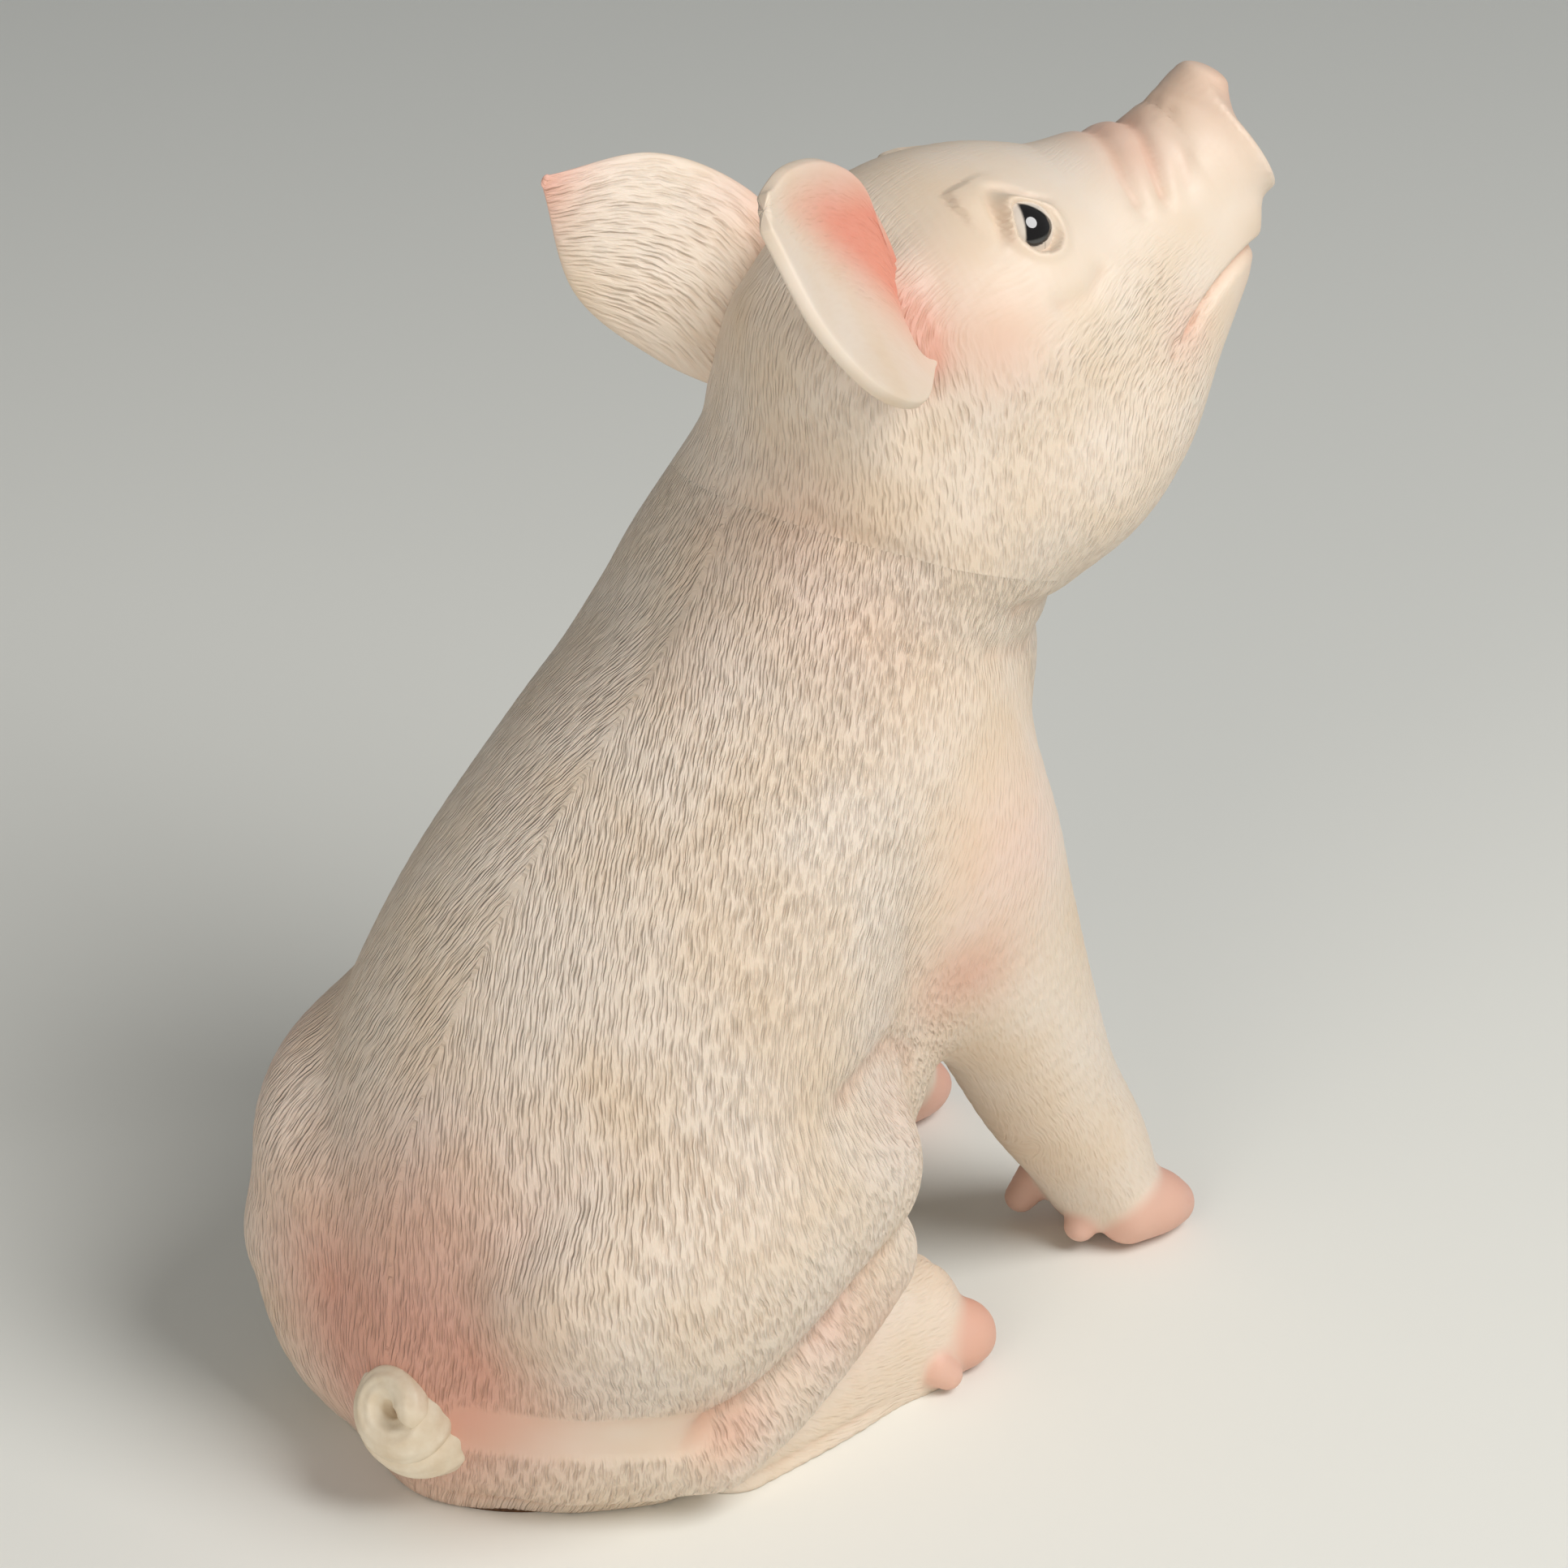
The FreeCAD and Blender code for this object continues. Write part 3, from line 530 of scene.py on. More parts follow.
# Creases of the body: over and behind the thigh, along the shank, and the clefts of the hooves
bodyStrokes = []
for s in (-1, 1):
    bodyStrokes += [
        {"line": [(s * 33, 9, 50), (s * 30, 4, 58), (s * 34, -6, 63), (s * 40, -20, 60)],
         "depth": -0.9, "width": 2.4},
        {"line": [(s * 41, -14, 34), (s * 41, -26, 30), (s * 39, -33, 26), (s * 37, -40, 20),
                  (s * 34, -43, 13)],
         "depth": -0.8, "width": 1.5},
        {"line": [(s * 37, -3, 21), (s * 38.5, -12, 16), (s * 38.5, -19, 12), (s * 36, -27, 8)],
         "depth": -0.7, "width": 1.3},
        {"line": [(s * 24.6, 58, 15), (s * 24.6, 63, 11), (s * 24.8, 68, 7)], "depth": -0.9, "width": 1.0},
        {"line": [(s * 27.8, 13, 16), (s * 28.3, 17, 12), (s * 28.8, 20, 7)], "depth": -0.9, "width": 1.0},
    ]
neckStrokes = [
    {"line": [(4, -9, 139), (-10, -7, 137), (-22, 4, 132), (-27, 18, 127)], "depth": -0.9, "width": 2.2},
    {"line": [(4, -20, 127), (-10, -16, 125), (-22, -6, 120), (-29, 8, 116)], "depth": 1.5, "width": 6.0},
    {"line": [(-27, 24, 120), (-20, 42, 117), (-8, 52, 115)], "depth": -0.9, "width": 2.2},
    {"line": [(-28, 18, 113), (-24, 36, 108), (-12, 46, 106)], "depth": -0.6, "width": 2.4},
]
headStrokes += neckStrokes
bodyStrokes += neckStrokes
bareBand = {"line": [(-13.5, -62, 18), (-26, -54, 18.5), (-36, -43, 18)], "half": 3.8, "depth": 0.35}
seatLip = {"from": 4, "halfWidth": 44, "height": 0.7, "depth": 0.5, "grooveAt": 2.6, "groove": 0.4,
           "width": 0.8}
# how far a foreleg's and a hind foot's middle planes are from the figure's
limbMiddle = {"leg": 22.5, "foot": 28}


def foldOf(v, isHead):
    # signed distance to the middle plane of the head, the trunk or whichever limb is nearest
    if isHead:
        return toHead(v)[:, 0]
    trunk = nearest(trunkMasses + haunchMasses, v)
    fold = v[:, 0].copy()
    for masses, middle in ((legLeft, limbMiddle["leg"]), (legRight, -limbMiddle["leg"]),
                           (footLeft, limbMiddle["foot"]), (footRight, -limbMiddle["foot"])):
        own = nearest(masses, v) < trunk
        fold[own] = v[own, 0] - middle
    return fold


def bandOf(v):
    # 1 on the bare band low on the right flank, 0 away from it
    d, where = lineDistance(v, place(spline(bareBand["line"], 12)))
    return np.clip((bareBand["half"] + 1 - d) / 1.5, 0, 1) * (v[:, 0] < 0)


def lipOf(v):
    # a low rounded lip runs round the seat at the floor, with a groove over it
    seat = np.clip((v[:, 1] - seatLip["from"]) / 8, 0, 1)
    seat = seat * np.clip((seatLip["halfWidth"] - np.abs(v[:, 0])) / 4, 0, 1)
    return seat * (seatLip["depth"] * bell(v[:, 2] - seatLip["height"], seatLip["width"])
                   - seatLip["groove"] * bell(v[:, 2] - seatLip["grooveAt"], seatLip["width"]))


def headCover(v):
    # from 0 to 1: how bare of hair the head is, where it is hoof (nowhere), and how much painted shade and
    # wash its hollows take.
    # The snout, the crown and the skin round the eyes are nearly bare
    h = toHead(v)
    nose = np.clip((h[:, 1] - 34) / 16, 0, 1) * 0.8
    eyes = sum(bell(np.linalg.norm(v - eyeFrame(side)[0], axis=1), 9) for side in (-1, 1))
    crown = 0.5 * np.clip((h[:, 2] + 2) / 8, 0, 1) * np.clip((h[:, 1] + 2) / 10, 0, 1)
    return np.clip(0.25 + nose + eyes + crown, 0, 1), np.zeros(len(v)), np.clip(1 - eyes, 0, 1)


def bodyCover(v, edges, band):
    # the same for the body: the band and the hooves are bare, and the limbs have less hair
    nails = nearest(legLeft[1:] + legRight[1:] + footLeft[2:] + footRight[2:], v)
    rest = nearest(trunkMasses + legLeft[:1] + legRight[:1] + footLeft[:2] + footRight[:2], v)
    hoof = np.clip(0.5 - (nails - rest) / 1.5, 0, 1)
    core = nearest(trunkMasses + haunchMasses, v)
    limbs = nearest(legLeft + legRight + footLeft[1:] + footRight[1:], v)
    legs = smoothOver(np.clip(0.5 - (limbs - core) / 8, 0, 1), edges, 8)
    return np.clip(np.maximum(band, hoof) + 0.55 * legs, 0, 1), hoof, 1 - 0.5 * hoof


def finishSkin(mesh, strokes, isHead):
    # carve the skin and work out what its paint needs at each vertex
    v, loops, starts, sizes = readMesh(mesh)
    g = blendMasses(allMasses, v)[1]
    push = carve(v, strokes)
    if isHead:
        push += noseHoles(v)
    else:
        band = bandOf(v)
        push += lipOf(v) - bareBand["depth"] * band
    v += g * push[:, None]
    if isHead:
        v = shapeEyes(v)
    v[:, 2] = np.maximum(v[:, 2], 0)
    normals = vertexNormals(v, loops, starts, sizes)
    edges = edgesOf(loops, starts, sizes)
    bare, hoof, hollowShadeShare = headCover(v) if isHead else bodyCover(v, edges, band)
    return {"v": v, "loops": loops, "starts": starts, "sizes": sizes, "normals": normals, "edges": edges,
            "bare": bare, "hoof": hoof, "hollowShadeShare": hollowShadeShare, "fold": foldOf(v, isHead)}


# Which way the hair lies: places on the skin and the way it runs there
hairGuides = [
    ((0, -4, 138), (0, -0.6, -0.8)), ((0, -22, 118), (0, -0.5, -0.85)), ((0, -45, 90), (0, -0.45, -0.9)),
    ((0, -60, 55), (0, -0.1, -1)), ((0, -63, 20), (0, 0.05, -1)),
    ((22, 5, 118), (0.25, -0.5, -0.8)), ((34, -15, 85), (0.25, -0.45, -0.85)),
    ((42, -40, 60), (0.2, -0.3, -0.9)),
    ((30, -55, 30), (0.1, 0, -1)), ((50, -28, 38), (0, 0.25, -1)), ((46, -10, 30), (-0.1, 0.5, -0.85)),
    ((40, 0, 45), (-0.1, 0.5, -0.8)), ((30, 25, 85), (0.1, -0.1, -1)), ((30, 30, 60), (0, 0.4, -0.9)),
    ((26, 45, 30), (0, 0.5, -0.85)), ((10, 45, 95), (0, 0, -1)), ((25, 10, 12), (0, 1, -0.1)),
    ((20, 30, 108), (0.1, -0.1, -1)),
]
# the same on the head, in its own left, ahead and up
hairHead = [
    ((0, -10, 20), (0, -1, -0.5)), ((0, 14, 25), (0, -1, 0)), ((0, 30, 20), (0, -1, 0.3)),
    ((0, 45, 14), (0, -1, 0.2)),
    ((24, 4, 2), (0, -0.3, -1)), ((24, 14, -12), (0, -0.35, -1)), ((20, 26, -4), (0, -0.8, -0.6)),
    ((15, 38, 0), (0, -1, -0.25)), ((22, 0, -25), (0, -0.3, -1)), ((12, 40, -14), (0, -1, -0.3)),
    ((0, 30, -28), (0, -1, -0.2)), ((22, 12, 14), (0, -0.9, 0.4)),
]


def flowGuides():
    # the guides of one side are given again for the other, and the head's are turned with it
    at, to = [], []
    for rows, head in ((hairGuides, False), (hairHead, True)):
        for p, d in rows:
            for side in (-1, 1):
                a = np.array(p, float) * (side, 1, 1)
                b = a + np.array(d, float) * (side, 1, 1)
                pa, pb = (inHead(a), inHead(b)) if head else (place(a), place(b))
                at.append(pa)
                to.append(pb - pa)
    return np.array(at), unit(np.array(to))


guideAt, guideTo = flowGuides()


def hollows(v, normals, edges):
    # how far each vertex lies under the mean of its neighbourhood, along its normal: the creases' depth,
    # which sets their painted shade and wash
    soft = smoothPlaces(v, edges, 10)
    return smoothOver(((soft - v) * normals).sum(1), edges, 2)


# Where pink is sprayed: a place, its reach and its strength
blushPlaces = [
    ((0, -60, 16), 16, 0.9), ((-14, -60, 26), 14, 0.7), ((14, -58, 30), 16, 0.8), ((-6, -60, 46), 16, 0.6),
    ((40, -44, 45), 14, 0.5), ((0, -9, 136), 9, 0.7), ((-14, -2, 135), 8, 0.5), ((-20, 6, 120), 12, 0.2),
    ((-8, -18, 122), 9, 0.35), ((-19, 15, 165), 5, 0.7), ((-22, 15, 161), 5, 1.0), ((-25, 14, 158), 4, 1.0),
    ((-44, 0, 58), 9, 0.3), ((-40, -20, 28), 8, 0.4), ((40, -20, 28), 8, 0.4), ((-33, 16, 66), 8, 0.6),
    ((-34, 22, 84), 12, 0.35),
    ((-40, -6, 19), 7, 0.4), ((-40, -38, 18), 7, 0.6), ((40, -6, 19), 7, 0.4), ((-24, 66, 5), 7, 1.0),
    ((24, 66, 5), 7, 1.0), ((-28, 17, 5), 7, 1.0), ((28, 17, 5), 7, 1.0), ((33, 16, 66), 8, 0.5),
]
blushHead = [
    ((0, 57, 8), 9, 0.6), ((0, 42, 14), 6, 0.5), ((8, 41, 10), 5, 0.4), ((-8, 41, 10), 5, 0.4),
    ((-24, 8, 5), 7, 0.45), ((24, 8, 5), 7, 0.45), ((0, 50, -14), 7, 0.45), ((-14, 35, -12), 5, 0.4),
    ((14, 35, -12), 5, 0.4),
]


def blushOf(v):
    # pink sprayed at its places, each a bell with its own reach and strength
    pink = np.zeros(len(v))
    for rows, head in ((blushPlaces, False), (blushHead, True)):
        for p, reach, strength in rows:
            c = inHead(np.array(p, float)) if head else place(p)
            pink += strength * bell(np.linalg.norm(v - c, axis=1), reach)
    return np.clip(pink, 0, 1)


print("carving")
bodySkin = finishSkin(bodyMesh, bodyStrokes, False)
headSkin = finishSkin(headMesh, headStrokes, True)
for label, skin in (("body", bodySkin), ("head", headSkin)):
    skin["flow"] = solveFlow(skin["v"], skin["normals"], skin["edges"], skin["fold"])
    # painted shade: the deeper a crease, the darker and pinker it is painted, together with the tan wash;
    # less round the eyes and on the hooves
    skin["hollow"] = hollows(skin["v"], skin["normals"], skin["edges"]) * skin["hollowShadeShare"]
    skin["blush"] = np.clip(blushOf(skin["v"]) + 0.7 * skin["hoof"], 0, 1)
    print(label, "hair laid")


def pieceOf(name, skin, keep):
    # the chosen faces of a skin as one closed piece that keeps the whole skin's shading at its edges
    starts, sizes = skin["starts"][keep], skin["sizes"][keep]
    order = np.repeat(starts - np.concatenate([[0], np.cumsum(sizes)[:-1]]), sizes) + np.arange(sizes.sum())
    used, loops = np.unique(skin["loops"][order], return_inverse=True)
    mesh = bpy.data.meshes.new(name)
    mesh.vertices.add(len(used))
    mesh.vertices.foreach_set("co", (skin["v"][used] * 0.001).ravel())
    mesh.loops.add(len(loops))
    mesh.loops.foreach_set("vertex_index", loops.astype(np.int32))
    mesh.polygons.add(len(sizes))
    mesh.polygons.foreach_set("loop_start", np.concatenate([[0], np.cumsum(sizes)[:-1]]).astype(np.int32))
    mesh.update(calc_edges=True)
    values = {"across": skin["flow"][0], "along": skin["flow"][1], "hollow": skin["hollow"],
              "blush": skin["blush"], "bare": skin["bare"]}
    for key, column in values.items():
        mesh.attributes.new(key, "FLOAT", "POINT").data.foreach_set("value", column[used].astype(np.float32))
    bm = bmesh.new()
    bm.from_mesh(mesh)
    lids = bmesh.ops.holes_fill(bm, edges=[e for e in bm.edges if e.is_boundary], sides=0)["faces"]
    bmesh.ops.poke(bm, faces=lids)
    bm.verts.ensure_lookup_table()
    bm.to_mesh(mesh)
    bm.free()
    mesh.shade_smooth()
    more = np.tile([0.0, 0, 1], (len(mesh.vertices) - len(used), 1))
    mesh.normals_split_custom_set_from_vertices(np.vstack([skin["normals"][used], more]).tolist())
    obj = bpy.data.objects.new(name, mesh)
    bpy.context.scene.collection.objects.link(obj)
    print("piece", name, len(mesh.polygons))
    return obj


def faceMean(skin, values):
    starts, sizes = skin["starts"], skin["sizes"]
    return np.add.reduceat(values[skin["loops"]], starts) / sizes


def shareOut(skin):
    # each face goes to the limb whose mass is nearest, a foreleg only below its joint: 1 and 2 are the
    # left and right foreleg, 3 and 4 the left and right hind foot, and 0 is the body
    v = skin["v"]
    core = nearest(trunkMasses + haunchMasses, v)
    zone = np.zeros(len(skin["starts"]), int)
    for index, (masses, s) in enumerate(((legLeft, 1), (legRight, -1)), 1):
        point, along = legTop[s]
        side = nearest(masses, v) - core
        below = (v - point) @ along
        zone[faceMean(skin, np.maximum(smoothOver(side, skin["edges"], 16), below)) < 0] = index
    for index, masses in enumerate((footLeft, footRight), 3):
        side = smoothOver(nearest(masses, v) - core, skin["edges"], 16)
        zone[(faceMean(skin, side) < 0) & (zone == 0)] = index
    return zone


zone = shareOut(bodySkin)
pieces = {
    "body": pieceOf("bodyCasting", bodySkin, zone == 0),
    "foreleg_left": pieceOf("forelegLeft", bodySkin, zone == 1),
    "foreleg_right": pieceOf("forelegRight", bodySkin, zone == 2),
    "hind_foot_left": pieceOf("hindFootLeft", bodySkin, zone == 3),
    "hind_foot_right": pieceOf("hindFootRight", bodySkin, zone == 4),
    "head": pieceOf("headCasting", headSkin, np.ones(len(headSkin["starts"]), bool)),
}

print("ears, eyes and tail")


def gridFaces(rows, cols):
    # quads of a grid that closes round its columns
    i, j = np.meshgrid(np.arange(rows - 1), np.arange(cols), indexing="ij")
    a, b = (i * cols + j).ravel(), (i * cols + (j + 1) % cols).ravel()
    return np.stack([a, b, b + cols, a + cols], 1).tolist()


def endFaces(rows, cols):
    # the two caps of such a grid
    return [list(range(cols))[::-1], list(range((rows - 1) * cols, rows * cols))]


def setValues(obj, **values):
    for key, column in values.items():
        data = obj.data.attributes.new(key, "FLOAT", "POINT").data
        data.foreach_set("value", np.broadcast_to(column, len(obj.data.vertices)).astype(np.float32))


# how far an ear's curves are carried back into the head, as a share of their first run, how soon its root
# has rounded to full size, and the length of its domed tip
earForm = {"carryBack": 0.25, "rootShare": 0.12, "tipLength": 0.7, "tipSteps": 7,
           "outerGroove": 0.09, "innerGroove": 0.07}


def parabolas(front, middle, back, t):
    # at each place along the ear, the parabola through its three curves
    return (front[:, None] * (1 - t) * (1 - 2 * t) + middle[:, None] * 4 * t * (1 - t)
            + back[:, None] * t * (2 * t - 1))


def earNormals(front, middle, back, t):
    # the normals of the parabolas' sheet, worked out at nine even places across and turned to its hollow side
    even = np.linspace(0, 1, 9)[None, :, None]
    q = parabolas(front, middle, back, even)
    slopes = unit(np.cross(np.gradient(q, axis=0), np.gradient(q, axis=1)))
    bow = (front + back) / 2 - middle
    flip = np.sign((slopes.mean((0, 1)) * bow.mean(0)).sum())
    at = t[0, :, 0] * 8
    low = np.clip(at.astype(int), 0, 7)
    share = (at - low)[None, :, None]
    return unit(slopes[:, low] * (1 - share) + slopes[:, low + 1] * share) * flip


def makeEar(name, s, rows=64, cols=96):
    # a closed slip is laid round the parabolas: thick at the rim, thin in the middle, round at the edges,
    # the root and the tip, with shallow grooves along it
    def curve(points):
        p = np.array(points, float)
        return place(spline(np.vstack([p[0] - earForm["carryBack"] * (p[1] - p[0]), p]), rows))

    front, middle, back = curve(s["front"]), curve(s["middle"]), curve(s["back"])
    turn = np.linspace(0, 2 * np.pi, cols, endpoint=False)
    t = (0.5 - 0.5 * np.cos(turn))[None, :, None]
    p = parabolas(front, middle, back, t)
    normal = earNormals(front, middle, back, t)
    edge = np.abs(2 * t[..., 0] - 1)
    depth = np.linspace(0, 1, rows)[:, None]
    thick = (s["belly"] + (s["edge"] - s["belly"]) * edge**3) * (1 - s["taper"] * depth**4)
    inner = np.sin(turn)[None, :] > 0
    lift = np.sign(np.sin(turn)) * np.abs(np.sin(turn)) ** 0.4
    width = np.linalg.norm(back - front, axis=1)[:, None]
    along = np.linspace(0, 1, rows)[:, None] * np.linalg.norm(middle[-1] - middle[0])
    across = t[..., 0] * width
    wave = earForm["outerGroove"] * np.sin(across * 2.6 + 0.9 * np.sin(along * 0.5) + along * 0.75)
    innerWave = earForm["innerGroove"] * np.sin(across * 2.1 + 0.6 * np.sin(along * 0.4))
    wave = np.where(inner, innerWave, wave) * (1 - edge**2)
    offset = thick * lift[None, :] + wave * lift[None, :]
    p = p + normal * offset[..., None]
    start = np.clip(1 - depth / earForm["rootShare"], 0, 0.98)[..., None]
    p = p + (p.mean(1, keepdims=True) - p) * (1 - np.sqrt(1 - start**2))
    centre = p[-1].mean(0)
    ahead = unit(middle[-1] - middle[-3])
    a = np.linspace(0.18, 0.97, earForm["tipSteps"])[:, None, None] * np.pi / 2
    tip = centre + (p[-1][None] - centre) * np.cos(a) + ahead * np.sin(a) * earForm["tipLength"]
    p = np.concatenate([p, tip])
    obj = newObject(name, p.reshape(-1, 3), gridFaces(len(p), cols) + endFaces(len(p), cols))

    def grow(x):
        # the tip's rings take the values of the last row
        full = np.broadcast_to(x, (rows, cols))
        return np.concatenate([full, np.repeat(full[-1:], earForm["tipSteps"], 0)]).ravel()

    # pink lies in the cup, widest near the root, and outside at the root's front edge and the tip
    lay = t[..., 0]
    low = np.clip(0.65 - depth, 0, 0.65)
    cup = ((0.85 + 0.9 * bell(depth - 0.2, 0.3)) * bell(lay - 0.29, 0.22 + 0.32 * low)
           * np.clip((1 - depth) * 3, 0, 1))
    backPink = (0.6 * bell(depth - 0.16, 0.12) + s["tipPink"] * bell(depth - 1.05, 0.14)
                + 1.4 * low * bell(lay, 0.2))
    pink = np.where(inner, cup, backPink)
    bare = np.where(inner, 0.55 + 0.3 * (lay > 0.6), 0.15) + 0.6 * edge**6
    setValues(obj, across=grow(across), along=grow(along), blush=grow(np.clip(pink, 0, 1)), hollow=0.0,
              bare=grow(np.clip(bare, 0, 1)))
    # the faces are turned round where one near the root looks inwards
    probe = 5
    if (obj.data.polygons[probe].normal @ Vector(p.reshape(-1, 3)[probe] - p[0].mean(0))) < 0:
        obj.data.flip_normals()
    return obj


pieces["ear_left"] = makeEar("earLeft", earShape["left"])
pieces["ear_right"] = makeEar("earRight", earShape["right"])


def makeEye(name, side):
    # a bead: a profile turned round the outward axis, a little flatter than a ball
    rows, cols = 90, 96
    c, out, across, up = eyeFrame(side)
    turn = np.linspace(0, 2 * np.pi, cols, endpoint=False)[None, :]
    tilt = np.linspace(0.02, np.pi - 0.02, rows)[:, None]
    r = eyeSpec["radius"]
    p = (c + (np.sin(tilt) * np.cos(turn))[..., None] * across * r
         + (np.sin(tilt) * np.sin(turn))[..., None] * up * r
         + (np.cos(tilt) * np.ones_like(turn))[..., None] * out * r * eyeSpec["flat"])
    obj = newObject(name, p.reshape(-1, 3), gridFaces(rows, cols) + endFaces(rows, cols))
    d = p.reshape(-1, 3) - c
    a, b = d @ across * -side, d @ up
    # the black is a drop: round below, drawn to a point above
    above = b - eyeSpec["blackWidest"]
    low = eyeSpec["black"] * np.sqrt(np.clip(1 - (above / eyeSpec["blackBelow"]) ** 2, 0, 1))
    high = eyeSpec["black"] * np.clip(1 - above / eyeSpec["blackAbove"], 0, 1) ** 0.8
    beyond = np.abs(a - eyeSpec["lean"] * b) - np.where(above < 0, low, high)
    setValues(obj, white=np.clip(beyond / 0.3 + 0.5, 0, 1))
    return obj


pieces["eye_left"] = makeEye("eyeLeft", 1)
pieces["eye_right"] = makeEye("eyeRight", -1)

tailSpec = {"turns": 2.2, "outer": 5.7, "inner": 3.3, "rise": 7.6, "thick": (4.8, 2.6), "start": 2.2,
            "root": (-2.2, -61.2, 15.2), "axis": (-0.1, -0.88, 0.47), "sunk": 5, "sinkShare": 0.07,
            "ribs": 11, "ribHeight": 0.02}


def makeTail(rows=150, cols=96):
    # a rope whose radius from the axis shrinks as it climbs, so that its turns lie on each other; it starts
    # sunk in the rump and its ends are rounded
    axis = unit(place(tailSpec["axis"]) - place((0, 0, 0)))
    base = place(tailSpec["root"])
    side = unit(np.cross(axis, [0, 0, 1.0]))
    up = np.cross(side, axis)
    t = np.linspace(0, 1, rows)
    angle = 2 * np.pi * tailSpec["turns"] * t + tailSpec["start"]
    radius = tailSpec["outer"] + (tailSpec["inner"] - tailSpec["outer"]) * t**0.9
    thick = tailSpec["thick"][0] + (tailSpec["thick"][1] - tailSpec["thick"][0]) * t
    thick = thick * np.sqrt(np.clip((1.02 - t) / 0.06, 0.02, 1))
    thick = thick * np.sqrt(np.clip((t + 0.01) / 0.03, 0.02, 1))
    climb = tailSpec["rise"] * t - tailSpec["sunk"] * np.exp(-t / tailSpec["sinkShare"])
    line = (base + np.outer(radius * np.cos(angle), side) + np.outer(radius * np.sin(angle), up)
            + np.outer(climb, axis))
    along = unit(np.gradient(line, axis=0))
    n1 = unit(np.cross(along, axis))
    n2 = np.cross(n1, along)
    th = np.linspace(0, 2 * np.pi, cols, endpoint=False)
    ribs = tailSpec["ribHeight"] * np.sin(tailSpec["ribs"] * th) * np.clip(8 * (1 - t[:, None]), 0, 1)
    ribbed = thick[:, None, None] * (1 + ribs)[..., None]
    p = line[:, None] + ribbed * (np.cos(th)[None, :, None] * n1[:, None]
                                  + np.sin(th)[None, :, None] * n2[:, None] * 1.1)
    return newObject("tailCurl", p.reshape(-1, 3), gridFaces(rows, cols) + endFaces(rows, cols))


pieces["tail"] = makeTail()

print("materials")


class Nodes:
    # short ways to add nodes to one material
    def __init__(self, name):
        self.material = bpy.data.materials.new(name)
        self.material.use_nodes = True
        self.tree = self.material.node_tree
        self.shader = self.tree.nodes["Principled BSDF"]

    def add(self, kind, sockets=None, **settings):
        node = self.tree.nodes.new(kind)
        for key, value in settings.items():
            setattr(node, key, value)
        for key, value in (sockets or {}).items():
            self.join(value, node.inputs[key])
        return node

    def join(self, value, socket):
        if isinstance(value, bpy.types.NodeSocket):
            self.tree.links.new(value, socket)
        else:
            socket.default_value = value

    def value(self, name):
        return self.add("ShaderNodeAttribute", attribute_name=name).outputs["Fac"]

    def math(self, operation, *values, clamp=False):
        node = self.add("ShaderNodeMath", dict(enumerate(values)), operation=operation, use_clamp=clamp)
        return node.outputs[0]

    def mix(self, amount, first, second):
        node = self.add("ShaderNodeMix", data_type="RGBA")
        self.join(amount, node.inputs[0])
        self.join(first, node.inputs[6])
        self.join(second, node.inputs[7])
        return node.outputs[2]

    def ramp(self, value, low, high, start=0.0, end=1.0):
        node = self.add("ShaderNodeMapRange", {0: value, 1: low, 2: high, 3: start, 4: end}, clamp=True)
        return node.outputs[0]

    def noise(self, vector, scale, detail=2.0, rough=0.5, distortion=0.0):
        return self.add("ShaderNodeTexNoise", {"Vector": vector, "Scale": scale, "Detail": detail,
                                               "Roughness": rough, "Distortion": distortion}).outputs[0]


def rgb(r, g, b):
    # a colour written as it looks, 0 to 255, made linear
    c = np.array([r, g, b]) / 255
    c = np.where(c <= 0.04045, c / 12.92, ((c + 0.055) / 1.055) ** 2.4)
    return (*c.tolist(), 1.0)


# nicks to the millimetre across and along the hair, two skin tones, the tan of the wash and of the painted
# shade, and the pink over them, how much of the pink and of the wash shows, how much painted shade the
# hollows take, and the bump's strength and depth in metres
hairPaint = {"across": 1.45, "along": 0.25, "reach": 0.42, "sway": 0.9,
             "cream": rgb(231, 217, 201), "warm": rgb(226, 206, 182),
             "washAndShade": rgb(200, 160, 120), "stain": 0.32, "hollowShadeAndWash": 0.3,
             "pink": rgb(220, 150, 128), "pinkness": 0.75,
             "bump": 0.8, "depth": 0.00075}


